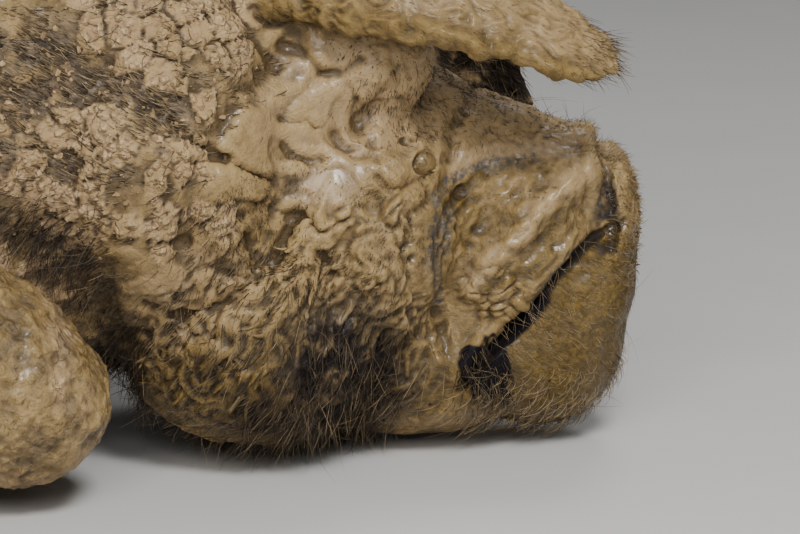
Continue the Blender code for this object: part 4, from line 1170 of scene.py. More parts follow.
class Nodes:
    """A short way to write a material's node tree."""

    def __init__(self, name):
        self.material = bpy.data.materials.new(name)
        self.material.use_nodes = True
        self.tree = self.material.node_tree
        self.shader = self.tree.nodes["Principled BSDF"]
        self.place = self.add("ShaderNodeTexCoord").outputs["Object"]

    def add(self, kind, **values):
        node = self.tree.nodes.new(kind)
        for key, value in values.items():
            setattr(node, key, value)
        return node

    def link(self, source, target):
        """Sets an input to a number or a colour, or joins it to another node's output."""
        if isinstance(source, bpy.types.NodeSocket):
            self.tree.links.new(source, target)
        elif isinstance(source, (int, float)):
            target.default_value = source
        else:
            target.default_value = (*source, 1.0)

    def mark(self, name):
        return self.add("ShaderNodeAttribute", attribute_name=name).outputs["Fac"]

    def noise(self, scale, detail=3.0, roughness=0.55, place=None, warp=0.0):
        node = self.add("ShaderNodeTexNoise")
        self.link(place or self.place, node.inputs["Vector"])
        node.inputs["Scale"].default_value = scale
        node.inputs["Detail"].default_value = detail
        node.inputs["Roughness"].default_value = roughness
        node.inputs["Distortion"].default_value = warp
        return node.outputs["Fac"]

    def cells(self, scale, feature="F1", place=None):
        node = self.add("ShaderNodeTexVoronoi", feature=feature)
        self.link(place or self.place, node.inputs["Vector"])
        node.inputs["Scale"].default_value = scale
        return node.outputs["Distance"]

    def drawn_out(self, long, rise=0.0):
        """Places drawn out along a slope in profile, which rises by that many degrees towards the snout."""
        node = self.add("ShaderNodeMapping", vector_type="TEXTURE")
        self.link(self.place, node.inputs["Vector"])
        node.inputs["Rotation"].default_value = (0.0, -math.radians(rise), 0.0)
        node.inputs["Scale"].default_value = (long, 1.0, 1.0)
        return node.outputs["Vector"]

    def shaken(self, scale, reach):
        """Places moved about by noise, so that cells on them get uneven edges."""
        swing = self.add("ShaderNodeTexNoise")
        self.link(self.place, swing.inputs["Vector"])
        swing.inputs["Scale"].default_value = scale
        scaled = self.add("ShaderNodeVectorMath", operation="SCALE")
        self.link(swing.outputs["Color"], scaled.inputs[0])
        scaled.inputs["Scale"].default_value = reach
        moved = self.add("ShaderNodeVectorMath", operation="ADD")
        self.link(self.place, moved.inputs[0])
        self.link(scaled.outputs["Vector"], moved.inputs[1])
        return moved.outputs["Vector"]

    def spread(self, value, low, high, to_low=0.0, to_high=1.0):
        node = self.add("ShaderNodeMapRange")
        self.link(value, node.inputs["Value"])
        for key, number in (("From Min", low), ("From Max", high), ("To Min", to_low), ("To Max", to_high)):
            node.inputs[key].default_value = number
        return node.outputs["Result"]

    def math(self, operation, first, second):
        node = self.add("ShaderNodeMath", operation=operation)
        self.link(first, node.inputs[0])
        self.link(second, node.inputs[1])
        return node.outputs["Value"]

    def plus(self, first, second):
        return self.math("ADD", first, second)

    def times(self, first, second):
        return self.math("MULTIPLY", first, second)

    def mix(self, share, first, second, blend="MIX"):
        node = self.add("ShaderNodeMix", data_type="RGBA", blend_type=blend)
        self.link(share, node.inputs[0])
        self.link(first, node.inputs[6])
        self.link(second, node.inputs[7])
        return node.outputs[2]

    def bump(self, height, strength, distance, normal=None):
        node = self.add("ShaderNodeBump")
        self.link(height, node.inputs["Height"])
        self.link(strength, node.inputs["Strength"])
        node.inputs["Distance"].default_value = distance
        if normal:
            self.link(normal, node.inputs["Normal"])
        return node.outputs["Normal"]

    def paint(self, colour, roughness, normal=None):
        self.link(colour, self.shader.inputs["Base Color"])
        self.link(roughness, self.shader.inputs["Roughness"])
        if normal:
            self.link(normal, self.shader.inputs["Normal"])
        return self.material


def mud_colour(nodes, colours):
    """Wet, drying and ochre mud over dark hide, as the markings say, with painted shade, grey glints and
    highlights.
    """
    broad = nodes.noise(26.0, 5.0, 0.62, warp=0.5)
    fine = nodes.noise(240.0, 4.0, 0.68)
    tone = nodes.plus(nodes.spread(broad, 0.36, 0.64, 0.0, 0.6), nodes.spread(fine, 0.35, 0.65, 0.0, 0.4))
    grain = nodes.spread(nodes.noise(640.0, 3.0, 0.7), 0.54, 0.68, 0.0, 0.4)
    colour = nodes.mix(tone, colours.wet_mud_dark, colours.wet_mud_light)
    ochre = nodes.mix(tone, colours.ochre_dark, colours.ochre_light)
    streaked = nodes.spread(nodes.noise(260.0, 3.0, 0.7, nodes.drawn_out(7.0, OCHRE_LIE)), 0.36, 0.62)
    ochre = nodes.mix(nodes.times(streaked, 0.75), ochre, colours.ochre_dark)
    colour = nodes.mix(nodes.mark("ochre"), colour, ochre)
    # Pale taupe mud, also used for the painted sheen and highlights.
    colour = nodes.mix(nodes.mark("taupe"), colour, nodes.mix(fine, colours.taupe, colours.dry_dark))
    dark = nodes.mix(nodes.mark("ochre"), colours.wet_mud_dark, colours.deep_ochre_and_shade)
    colour = nodes.mix(grain, colour, dark)
    specks = nodes.spread(nodes.cells(420.0), 0.12, 0.3, 1.0, 0.0)
    crumbs = nodes.spread(nodes.cells(150.0, place=nodes.shaken(160.0, 0.006)), 0.15, 0.6, 1.0, 0.0)
    tone = nodes.plus(nodes.times(tone, 0.6), nodes.times(crumbs, 0.5))
    dry = nodes.mix(tone, colours.dry_dark, colours.dry_light)
    dry = nodes.mix(nodes.times(specks, 0.4), dry, colours.wet_mud_dark)
    colour = nodes.mix(nodes.mark("dry"), colour, dry)
    streaks = nodes.noise(170.0, 4.0, 0.75, nodes.drawn_out(5.0, HAIR_LIE))
    hide = nodes.mix(nodes.spread(streaks, 0.42, 0.66), colours.hide, colours.hide_grey)
    dust = nodes.times(nodes.spread(broad, 0.45, 0.65), nodes.spread(fine, 0.44, 0.6))
    hide = nodes.mix(nodes.times(dust, 0.8), hide, colours.dry_dark)
    colour = nodes.mix(nodes.mark("bare"), colour, hide)
    # Painted shade: hollows of the relief are darkened towards the shade colours.
    hollow = nodes.spread(nodes.mark("cavity"), -0.10, 0.005, 0.85, 0.0)
    deep = nodes.mix(nodes.mark("ochre"), colours.hollow_shade, colours.deep_ochre_and_shade)
    colour = nodes.mix(hollow, colour, deep)
    # Painted highlight: ridges of the relief are lightened towards a lit mud colour, save on bare hide.
    ridge = nodes.spread(nodes.mark("cavity"), 0.0, 0.08, 0.0, 0.55)
    ridge = nodes.times(ridge, nodes.math("SUBTRACT", 1.0, nodes.mark("bare")))
    lit = nodes.mix(nodes.mark("ochre"), colours.wet_mud_light, colours.ochre_light)
    colour = nodes.mix(ridge, colour, lit)
    # Painted grey glints and shade, broken up by noise.
    grey = nodes.spread(nodes.noise(300.0, 3.0, 0.7), 0.40, 0.58)
    colour = nodes.mix(nodes.times(nodes.mark("grey"), grey), colour, colours.glint_and_shade_grey)
    # Black wet hair at the mouth's corner, and painted shade where the markings put it.
    colour = nodes.mix(nodes.mark("black"), colour, colours.wet_hide_and_shade)
    # Painted shade inside the mouth.
    colour = nodes.mix(nodes.mark("inside"), colour, colours.mouth)
    return colour, fine, crumbs


def skin_material(colours):
    nodes = Nodes("muddy_hide_skin")
    colour, fine, crumbs = mud_colour(nodes, colours)
    # Fine cracks in the dried mud, with painted shade along them.
    edges = nodes.cells(46.0, "DISTANCE_TO_EDGE", nodes.shaken(110.0, 0.006))
    hairline = nodes.times(nodes.spread(edges, 0.0, 0.02, 1.0, 0.0), nodes.mark("dry"))
    hairline = nodes.times(hairline, nodes.spread(nodes.noise(55.0, 2.0), 0.5, 0.6))
    colour = nodes.mix(nodes.times(hairline, 0.5), colour, colours.hollow_shade)
    wet = nodes.mark("wet")
    patchy = nodes.spread(nodes.noise(70.0, 4.0), 0.35, 0.65, -0.12, 0.12)
    rough = nodes.plus(patchy, nodes.spread(wet, 0.0, 1.0, 0.8, 0.42))
    film = nodes.times(wet, nodes.spread(nodes.noise(45.0, 3.0), 0.4, 0.6, 0.1, 0.6))
    nodes.link(film, nodes.shader.inputs["Coat Weight"])
    nodes.shader.inputs["Coat Roughness"].default_value = 0.2
    gloss = nodes.spread(nodes.mark("black"), 0.0, 1.0, 0.5, 0.12)
    nodes.link(gloss, nodes.shader.inputs["Specular IOR Level"])
    grain = nodes.plus(nodes.times(nodes.noise(800.0, 3.0, 0.7), 0.35), fine)
    normal = nodes.bump(nodes.noise(120.0, 3.0, 0.6, warp=0.6), nodes.spread(wet, 0.2, 1.0, 0.25, 0.6), 0.004)
    normal = nodes.bump(grain, nodes.spread(nodes.mark("taupe"), 0.0, 0.6, 0.9, 0.5), 0.0018, normal)
    streaks = nodes.noise(300.0, 3.0, 0.75, nodes.drawn_out(6.0, HAIR_LIE))
    combed = nodes.math("MAXIMUM", nodes.mark("bare"), nodes.times(nodes.mark("ochre"), 0.7))
    normal = nodes.bump(streaks, combed, 0.0018, normal)
    crumbly = nodes.math("MAXIMUM", nodes.mark("dry"), nodes.times(nodes.mark("leg"), 0.5))
    normal = nodes.bump(crumbs, nodes.times(crumbly, 0.9), 0.0035, normal)
    normal = nodes.bump(nodes.math("SUBTRACT", 1.0, hairline), 0.8, 0.002, normal)
    return nodes.paint(colour, rough, normal)


def coat_material(colours, name="coat_bristles"):
    """Dark bristles, each muddy as far as its tone says and bleached towards its tip."""
    nodes = Nodes(name)
    mud, fine, _ = mud_colour(nodes, colours)
    hair = nodes.mix(nodes.mark("pale"), colours.bristle, colours.bristle_tip)
    muddy = nodes.plus(nodes.mark("muddy"), nodes.spread(fine, 0.3, 0.7, -0.2, 0.2))
    muddy = nodes.spread(muddy, 0.35, 0.65)
    colour = nodes.mix(muddy, hair, mud)
    rough = nodes.spread(nodes.mark("muddy"), 0.0, 1.0, 0.45, 0.38)
    rough = nodes.plus(rough, nodes.times(nodes.mark("dry"), 0.4))
    normal = nodes.bump(nodes.noise(500.0, 2.0, 0.6), 0.4, 0.0006)
    nodes.shader.inputs["Specular IOR Level"].default_value = 0.35
    return nodes.paint(colour, rough, normal)


def eye_material(colours):
    nodes = Nodes("glazed_eye")
    film = nodes.spread(nodes.noise(150.0, 4.0, 0.65, warp=0.8), 0.28, 0.52)
    colour = nodes.mix(film, colours.eye, colours.eye_film)
    rough = nodes.spread(film, 0.0, 1.0, 0.15, 0.5)
    normal = nodes.bump(nodes.noise(260.0, 3.0, 0.6, warp=0.5), 0.8, 0.002)
    nodes.shader.inputs["Coat Weight"].default_value = 0.3
    nodes.shader.inputs["Coat Roughness"].default_value = 0.1
    return nodes.paint(colour, rough, normal)


def horn_material(colours):
    nodes = Nodes("muddy_horn")
    rings = nodes.noise(300.0, 2.0, 0.6, nodes.drawn_out(4.0))
    horn = nodes.mix(nodes.spread(rings, 0.35, 0.65), colours.horn, colours.horn_light)
    splash = nodes.spread(nodes.noise(60.0, 5.0, 0.65, warp=0.8), 0.42, 0.55)
    colour = nodes.mix(splash, horn, colours.wet_mud_dark)
    rough = nodes.spread(splash, 0.0, 1.0, 0.35, 0.65)
    normal = nodes.bump(nodes.plus(rings, splash), 0.5, 0.0012)
    return nodes.paint(colour, rough, normal)


def floor_material(colours):
    nodes = Nodes("studio_floor")
    grain = nodes.noise(9.0, 3.0)
    colour = nodes.mix(nodes.spread(grain, 0.3, 0.7), colours.floor, tuple(c * 0.97 for c in colours.floor))
    return nodes.paint(colour, 0.75)


# Coat


class SkinData:
    """The finished skin as arrays in the tables' frame, in centimetres."""

    def __init__(self):
        mesh = bpy.data.objects[SKIN_NAME].data
        self.points = (points_of(mesh) - SHIFT) / CM
        self.normals = normals_of(mesh)
        mesh.calc_loop_triangles()
        found = np.zeros(len(mesh.loop_triangles) * 3, dtype=np.int32)
        mesh.loop_triangles.foreach_get("vertices", found)
        self.faces = found.reshape(-1, 3)
        self.marks = {name: stored(mesh, name) for name in (*MARKS, *PLACES, "cavity")}
        corners = self.points[self.faces]
        self.centres = corners.mean(1)
        cross = np.cross(corners[:, 1] - corners[:, 0], corners[:, 2] - corners[:, 0])
        self.areas = np.linalg.norm(cross, axis=1) / 2.0
        self.places = slanted(self.centres)

    def face_mark(self, name):
        return self.marks[name][self.faces].mean(1)

    def area(self, name, edge):
        """How far each face belongs to a named region, 0 to 1."""
        return region(self.places, name, edge)

    def near_eye(self, reach):
        """1 away from the eyes, 0 on them."""
        return (eye_gap(self.centres) > reach).astype(float)

    def roots(self, density, count, rng):
        """Scattered root places: more where the density is higher."""
        weight = self.areas * np.maximum(density, 0.0)
        picked = rng.choice(len(self.faces), size=count, p=weight / weight.sum())
        a, b = rng.random(count), rng.random(count)
        flip = a + b > 1.0
        a, b = np.where(flip, 1.0 - a, a), np.where(flip, 1.0 - b, b)
        shares = np.stack([1.0 - a - b, a, b], axis=1)
        corners = self.faces[picked]
        points = np.einsum("ij,ijk->ik", shares, self.points[corners])
        normals = np.einsum("ij,ijk->ik", shares, self.normals[corners])
        normals /= np.linalg.norm(normals, axis=1)[:, None]
        marks = {name: (values[corners] * shares).sum(1) for name, values in self.marks.items()}
        return points, normals, marks


def unit(vectors):
    return vectors / np.maximum(np.linalg.norm(vectors, axis=-1), 1e-9)[..., None]


def clumped(points, size, pull, reach_to, seed):
    """Tips drawn together: each strand's tip moves towards its clump's middle."""
    return (cracks(points, size, seed)[2] - points) * pull * reach_to[:, None]


def strands(points, normals, lie, length, width, rng, rise, drift, curl=0.2, flat=0.9,
            sides=3, rings=MIDDLING, sink=0.15):
    """Closed tapered strands as arrays: points, triangles, share along, root number."""
    count = len(points)
    lie = unit(lie - normals * np.einsum("ij,ij->i", lie, normals)[:, None])
    across = unit(np.cross(normals, lie))
    start = unit(lie + normals * rise[:, None])
    side = rng.normal(size=count) * curl
    steps = len(rings)

    def spine(share):
        bow = share * share
        out = start * share + across * side[:, None] * bow
        return points + out * length[:, None] + drift * bow

    made = np.zeros((count, steps * sides + 1, 3))
    along = np.zeros((count, steps * sides + 1))
    for k, share in enumerate(rings):
        centre = spine(share) - (normals * sink if k == 0 else 0.0)
        ahead = unit(spine(share + 0.02) - spine(share - 0.02 if share else 0.0))
        wide = unit(np.cross(normals, ahead))
        deep = unit(np.cross(ahead, wide))
        taper = (1.0 - share) ** 0.55
        reach = (width * 0.5 * taper)[:, None]
        for i in range(sides):
            angle = 2.0 * math.pi * (i + 0.25) / sides
            corner = centre + wide * math.cos(angle) * reach
            made[:, k * sides + i] = corner + deep * math.sin(angle) * reach * flat
        along[:, k * sides:(k + 1) * sides] = share
    made[:, -1] = spine(1.0)
    along[:, -1] = 1.0
    faces = []
    for k in range(steps - 1):
        for i in range(sides):
            j = (i + 1) % sides
            a, b, c, d = k * sides + i, k * sides + j, (k + 1) * sides + j, (k + 1) * sides + i
            faces += [(a, b, c), (a, c, d)]
    last = (steps - 1) * sides
    faces += [(last + i, last + (i + 1) % sides, steps * sides) for i in range(sides)]
    faces += [(0, i + 1, i) for i in range(1, sides - 1)]
    faces = np.array(faces)
    size = made.shape[1]
    every = faces[None] + (np.arange(count) * size)[:, None, None]
    return made.reshape(-1, 3), every.reshape(-1, 3), along.ravel(), np.repeat(np.arange(count), size)


def unwrap(points):
    """Where a place lies on the skin unrolled round the body's long axis, both 0 to 1."""
    middle = np.interp(points[:, 0], AXIS_PLACES, AXIS_HEIGHTS)
    turn = np.arctan2(points[:, 1], points[:, 2] - middle) / (2.0 * math.pi) + 0.5
    return np.stack([(points[:, 0] - MAP_START) / MAP_LENGTH, turn], axis=1)


def coat_piece(name, parts, material):
    """One joined mesh from several draws of strands, with its marks and its bake map."""
    points, faces, along, marks, roots = [], [], [], [], []
    offset = 0
    for (p, f, a, number), root_points, root_marks in parts:
        points.append(p)
        faces.append(f + offset)
        along.append(a)
        marks.append({key: np.asarray(value)[number] for key, value in root_marks.items()})
        roots.append(root_points[number])
        offset += len(p)
    points, faces, along, roots = (np.concatenate(v) for v in (points, faces, along, roots))
    points[:, 2] = np.maximum(points[:, 2], COAT_FLOOR)
    obj = from_arrays(name, points * CM, faces)
    for key in marks[0]:
        store(obj.data, key, np.concatenate([m[key] for m in marks]))
    pale = stored(obj.data, "pale")
    obj.data.attributes["pale"].data.foreach_set("value", (pale * along ** 0.7).astype(np.float32))
    # Painted shade towards the roots of muddy strands and painted light towards their tips.
    cavity = stored(obj.data, "cavity") + stored(obj.data, "muddy") * (along - 0.6) * 0.06
    obj.data.attributes["cavity"].data.foreach_set("value", cavity.astype(np.float32))
    spot = unwrap(roots)
    local = (points - roots) @ np.array([[1.0, 0.0], [0.0, 1.0], [0.4, -0.6]])
    spot = spot + np.clip(local / PATCH_REACH, -0.5, 0.5) * PATCH
    layer = obj.data.uv_layers.new(name="OFBake")
    corners = np.zeros(len(obj.data.loops), dtype=np.int32)
    obj.data.loops.foreach_get("vertex_index", corners)
    layer.data.foreach_set("uv", spot[corners].astype(np.float32).ravel())
    finish_piece(obj, material)
    return obj


def with_tones(marks, muddy, pale, rng):
    """Adds how muddy and how bleached each strand is."""
    count = len(marks["wet"])
    shown = {name: marks[name] for name in MARKS}
    # Each strand takes half of the skin's painted relief shade.
    shown["cavity"] = marks["cavity"] * 0.5
    shown["muddy"] = np.clip(muddy + rng.normal(size=count) * 0.12, 0.0, 1.0)
    shown["pale"] = np.clip(pale * rng.random(count) ** 2.2 * 2.2, 0.0, 1.0)
    return shown


class Tufts:
    """The strands planted for one piece of the coat, from seeded draws."""

    def __init__(self, skin, draw):
        self.skin = skin
        self.rng = np.random.default_rng(SEED + draw)
        self.parts = []

    def plant(self, density, count, long, wide, rise, lie=None, spread=0.2, muddy=0.3, pale=0.3,
              clump=None, drift=None, **form):
        """Adds strands: where and how many, their sizes as ranges, their lie and their tones."""
        rng = self.rng
        points, normals, marks = self.skin.roots(density, count, rng)
        length = rng.uniform(*long, count)
        width = rng.uniform(*wide, count)
        lean = coat_lie(points) if lie is None else np.tile(lie, (count, 1)).astype(float)
        if lie is not None:
            lean[:, 1] *= np.sign(points[:, 1])
        bow = np.zeros((count, 3))
        if clump:
            bow += clumped(points, clump[0], clump[1], length / long[1], 3)
        if drift:
            bow += np.array(drift)[None] * length[:, None]
        made = strands(points, normals, turned(lean, rng, spread), length, width, rng,
                       rise=rng.uniform(*rise, count), drift=bow, **form)
        self.parts.append((made, points, with_tones(marks, muddy, pale, rng)))

    def grow(self, name, material):
        """Joins what is planted so far into one piece."""
        coat_piece(name, self.parts, material)
        self.parts = []


def coat_lie(points):
    """The way the hair lies: back along the body, down the cheeks and forward over the chin."""
    side = np.sign(points[:, 1])
    lie = np.zeros_like(points)
    lie[:, 0] = -1.0
    lie[:, 2] = -0.25
    places = slanted(points)
    for name, edge, (x, y, z) in COAT_LIES:
        weight = region(places, name, edge)[:, None]
        goal = np.stack([np.full(len(points), x), side * y, np.full(len(points), z)], axis=1)
        lie = lie * (1.0 - weight) + goal * weight
    return lie


def turned(lie, rng, spread):
    return unit(unit(lie) + rng.normal(size=lie.shape) * spread)


# Settings


class PigShape(bpy.types.PropertyGroup):
    """Sizes of the skin and of the mud on it."""

    skin_cell: FloatProperty(name="Skin Cell", description="Fineness of the skin's mesh", default=0.005,
                             min=0.002, max=0.02, unit="LENGTH")
    coat_depth: FloatProperty(name="Coat Depth", description="How far the skin lies inside the solids",
                              default=0.001, min=0.0, max=0.01, unit="LENGTH")
    fine_from: FloatProperty(name="Fine From", description="Where the finer part of the skin starts along x",
                             default=0.235, unit="LENGTH")
    finest_from: FloatProperty(name="Finest From", default=0.45, unit="LENGTH",
                               description="Where the finest part of the skin starts along x")
    # How wide the hollows and ridges are that get painted shade and painted light.
    hollow_rounds: IntProperty(name="Hollow Rounds", description="How wide a hollow counts as one",
                               default=18, min=1, max=100)
    mud_depth: FloatProperty(name="Mud Depth", description="Strength of the mud's relief", default=1.0,
                             min=0.0, max=3.0, subtype="FACTOR")


def colour_property(name, description, default):
    return FloatVectorProperty(name=name, description=description, default=default, subtype="COLOR",
                               size=3, min=0.0, max=1.0)


class PigColours(bpy.types.PropertyGroup):
    """Colours of mud, hide, hair, eyes, claws and floor, and of the painted shade, glints and highlights."""

    wet_mud_dark: colour_property("Wet Mud Dark", "Darker wet mud", (0.14, 0.082, 0.018))
    wet_mud_light: colour_property("Wet Mud Light", "Lighter wet mud", (0.41, 0.275, 0.115))
    # Painted shade in the hollows of the relief and in the fine cracks of the dried mud.
    hollow_shade: colour_property("Deep Mud", "Mud in the hollows", (0.05, 0.027, 0.005))
    # Darker ochre for the grain of the chin's mud, and painted shade in its hollows.
    deep_ochre_and_shade: colour_property("Deep Ochre", "Ochre mud in the hollows of the chin", (0.028, 0.014, 0.001))
    dry_dark: colour_property("Dry Mud Dark", "Darker dried mud", (0.25, 0.15, 0.068))
    dry_light: colour_property("Dry Mud Light", "Lighter dried mud", (0.68, 0.475, 0.265))
    ochre_dark: colour_property("Ochre Mud Dark", "Darker ochre mud of the chin", (0.072, 0.040, 0.003))
    ochre_light: colour_property("Ochre Mud Light", "Lighter ochre mud of the chin", (0.235, 0.138, 0.018))
    # Grey of the painted glints and shade in the folds.
    glint_and_shade_grey: colour_property("Grey Clay", "Greasy grey clay in the folds", (0.050, 0.050, 0.052))
    # Pale taupe mud, also the painted sheen and highlights of temple, brow and nose.
    taupe: colour_property("Taupe Mud", "Smooth pale mud of temple and nose", (0.60, 0.43, 0.235))
    hide: colour_property("Hide", "Dark hide under the hair", (0.04, 0.028, 0.018))
    hide_grey: colour_property("Hide Grey", "Dusty hair over the hide", (0.25, 0.185, 0.12))
    # Black of the wet hair at the mouth's corner, also the painted shade of the dark places.
    wet_hide_and_shade: colour_property("Wet Hide", "Clean wet hair at the mouth's corner", (0.006, 0.004, 0.006))
    # Painted shade inside the mouth.
    mouth: colour_property("Mouth", "Inside of the mouth", (0.010, 0.006, 0.004))
    bristle: colour_property("Bristle", "Clean dark bristles", (0.018, 0.011, 0.007))
    bristle_tip: colour_property("Bristle Tip", "Bleached tips of bristles", (0.60, 0.43, 0.23))
    eye: colour_property("Eye", "Eye under its film of mud", (0.045, 0.027, 0.007))
    eye_film: colour_property("Eye Film", "Thin mud on the eye", (0.19, 0.118, 0.036))
    horn: colour_property("Horn", "Dark horn of the claws", (0.05, 0.037, 0.027))
    horn_light: colour_property("Horn Light", "Lighter growth rings", (0.12, 0.09, 0.06))
    floor: colour_property("Floor", "Plain studio floor", (0.62, 0.61, 0.59))


def strand_count(name, description, default):
    return IntProperty(name=name, description=description, default=default, min=0)


class PigCoat(bpy.types.PropertyGroup):
    """How many strands each part of the coat has."""

    bridge_bristles: strand_count("Bridge Bristles", "Short bristles on the snout", 1500)
    stubble: strand_count("Stubble", "Bristles that poke through the cheek's mud", 5600)
    jowl_tongues: strand_count("Jowl Tongues", "Mud-soaked locks of the jowls", 1100)
    jowl_hairs: strand_count("Jowl Hairs", "Long dark hair of the jowls", 4200)
    chin_bristles: strand_count("Chin Bristles", "Fine bristles of the chin", 2600)
    lip_hairs: strand_count("Lip Hairs", "Fine hairs across the mouth", 360)
    throat_hairs: strand_count("Throat Hairs", "Long hair of the throat", 6400)
    neck_hairs: strand_count("Neck Hairs", "Flat hair of the neck", 11500)
    body_hairs: strand_count("Body Hairs", "Flat hair on each side of the trunk", 9500)
    ear_bristles: strand_count("Ear Bristles", "Bristles on each ear", 2000)
    ear_tip_bristles: strand_count("Ear Tip Bristles", "Longer bristles at the near ear's tip", 220)
    leg_bristles: strand_count("Leg Bristles", "Bristles on all legs", 4500)
    tail_bristles: strand_count("Tail Bristles", "Bristles on the tail", 1300)
    strays: strand_count("Strays", "Long hairs that stand away", 14)
    crumbs: strand_count("Crumbs", "Crumbs of dried mud", 1500)


def lamp_power(name, description, default):
    return FloatProperty(name=name, description=description, default=default, min=0.0, unit="POWER")


class PigStudio(bpy.types.PropertyGroup):
    """Camera and light."""

    lens: FloatProperty(name="Lens", description="Focal length", default=200.0, unit="CAMERA")
    distance: FloatProperty(name="Distance", description="Camera to head", default=2.78, unit="LENGTH")
    elevation: FloatProperty(name="Elevation", description="Height of the view", default=SLANT,
                             unit="ROTATION")
    key_power: lamp_power("Key Power", "Power of the main light", 54.0)
    fill_power: lamp_power("Fill Power", "Power of the fill light", 24.0)
    rim_power: lamp_power("Rim Power", "Power of the light behind", 14.0)
    sky: FloatProperty(name="Sky", description="Strength of the light from all round", default=0.18,
                       subtype="FACTOR")


# Operators


class PIG_OT_skin(bpy.types.Operator):
    """Grow the one muddy skin that stands for all nodes of flesh"""

    bl_idname = "pig.skin"
    bl_label = "Muddy Skin"

    def execute(self, context):
        shape = context.scene.pig_shape
        skin = bare_skin(shape.skin_cell)
        skin = refined(skin, shape.fine_from)
        skin = refined(skin, shape.finest_from, [p for p, _ in EAR_LEFT])
        mesh = skin.data
        depth = depth_inside(points_of(mesh) / CM)
        for line, reach, size in FOLDS:
            groove(mesh, line, reach, size)
        for line, reach, size in CREASES:
            groove(mesh, line, reach, size, places=slanted)
        groove(mesh, MOUTH[1:], *LIP_SEAM)
        groove(mesh, [np.add(p, LIP_ROLL_OFFSET) for p in MOUTH[2:]], *LIP_ROLL)
        raise_lids(mesh)
        press_details(mesh)
        points = points_of(mesh)
        marks = markings(points / CM, depth)
        height = relief(points / CM, marks) * shape.mud_depth
        points += normals_of(mesh) * (height * CM - shape.coat_depth)[:, None]
        points[:, 2] = np.maximum(points[:, 2], SKIN_FLOOR * CM)
        move_points(mesh, points)
        # Hollows and ridges of the relief, stored for the painted shade in hollows and painted light on
        # ridges, weaker away from the head.
        hollows = points - averaged(points, edges_of(mesh), shape.hollow_rounds)
        cavity = np.einsum("ij,ij->i", hollows, normals_of(mesh)) / CM
        head = smoothstep(shape.fine_from, shape.finest_from, points[:, 0])
        for name in (*MARKS, *PLACES):
            store(mesh, name, marks[name])
        store(mesh, "cavity", cavity * (0.35 + 0.65 * head))
        finish_piece(skin, skin_material(context.scene.pig_colours))
        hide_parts(*FLESH_NODES)
        return {"FINISHED"}


class PIG_OT_eyes(bpy.types.Operator):
    """Set a rounder, glazed eye in place of each eye of the solids"""

    bl_idname = "pig.eyes"
    bl_label = "Eyes"

    def execute(self, context):
        material = eye_material(context.scene.pig_colours)
        for word in ("right", "left"):
            low, high = (Vector(corner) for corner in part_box(f"eye_{word}"))
            middle = (low + high) / 2
            eye = ball(f"glazed_eye_{word}", middle / CM, (EYE_SHOWN,) * 3, rounds=(48, 32))
            move_points(eye.data, points_of(eye.data) - SHIFT)
            finish_piece(eye, material)
            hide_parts(f"eye_{word}")
        return {"FINISHED"}


def claw(name, heel, yaw, size, levels):
    """A claw: a wedge with a flat sole, a rounded wall and a blunt toe."""
    length, half_width, height = size
    turn = Matrix.Rotation(yaw, 3, "Z")
    rings = []
    for along, wide, tall in CLAW_ROWS:
        ring = []
        for across, up in CLAW_SECTION:
            place = Vector((along * length, across * wide * half_width, up * tall * height - CLAW_SOLE))
            ring.append(Vector(heel) + turn @ place)
        rings.append(ring)
    return ring_cage(name, rings, levels)


class PIG_OT_claws(bpy.types.Operator):
    """Shape the main claws and dewclaws of all four feet"""

    bl_idname = "pig.claws"
    bl_label = "Claws"

    def execute(self, context):
        material = horn_material(context.scene.pig_colours)
        for side, word in SIDES:
            for foot, (x, y), yaw, by in (("fore", FORE_FOOT, math.pi, LEFT_FORELEG_SHIFT),
                                          ("hind", HIND_FOOT, 0.0, LEFT_HINDLEG_SHIFT)):
                x += by if side > 0 else 0.0
                ahead = math.cos(yaw)
                for step, part in ((-1, "outer"), (1, "inner")):
                    name = f"{foot}_claw_{word}_{part}"
                    heel = (x, y * side + step * CLAW_SPREAD, 0.0)
                    toe = claw(f"horn_{name}", heel, yaw + CLAW_TURN * step * ahead, CLAW_SIZE, 3)
                    heel = (x - DEWCLAW_BACK * ahead, y * side + step * DEWCLAW_ASIDE, DEWCLAW_UP)
                    dew = claw(f"horn_{name}_dew", heel, yaw, DEWCLAW_SIZE, 2)
                    for piece, node in ((toe, name), (dew, f"{name}_dew")):
                        points = points_of(piece.data)
                        points += normals_of(piece.data) * (noise(points / CM, 0.5, 3) * HORN_RIPPLE)[:, None]
                        points[:, 2] = np.maximum(points[:, 2], 0.0)
                        move_points(piece.data, points)
                        finish_piece(piece, material)
                        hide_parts(node)
        return {"FINISHED"}


class PIG_OT_face_coat(bpy.types.Operator):
    """Plant the short bristles of the snout and the stubble that pokes through the mud"""

    bl_idname = "pig.face_coat"
    bl_label = "Face Coat"

    def execute(self, context):
        coat, skin = context.scene.pig_coat, SkinData()
        tufts = Tufts(skin, 1)
        clear = (1.0 - skin.face_mark("ear")) * skin.near_eye(EYE_CLEAR)
        bridge = skin.area("bridge", 0.25) * clear
        stubble = most(skin.area("stubble", 0.3) * 0.5, skin.area("cheek", 0.3) * 1.1)
        stubble = most(stubble, skin.area("muzzle", 0.2) * 0.12) * clear
        stubble *= 0.15 + smoothstep(-0.15, 0.35, noise(skin.centres, 1.8, 45))
        tufts.plant(bridge, coat.bridge_bristles, long=(0.3, 0.8), wide=(0.035, 0.06), rise=(0.15, 0.7),
                    lie=(-0.35, 0.1, -0.9), spread=0.25, muddy=0.1, pale=0.15)
        tufts.plant(bridge, coat.bridge_bristles // 10, long=(1.0, 2.2), wide=(0.03, 0.045), rise=(0.4, 1.4),
                    spread=0.5, muddy=0.1, pale=0.4, curl=0.5, rings=LONG)
        tufts.plant(stubble, coat.stubble, long=(0.15, 0.5), wide=(0.035, 0.065), rise=(0.2, 0.9),
                    spread=0.35, muddy=0.2, pale=0.15, rings=SHORT)
        tufts.grow("face_coat", coat_material(context.scene.pig_colours, "face_bristles"))
        return {"FINISHED"}


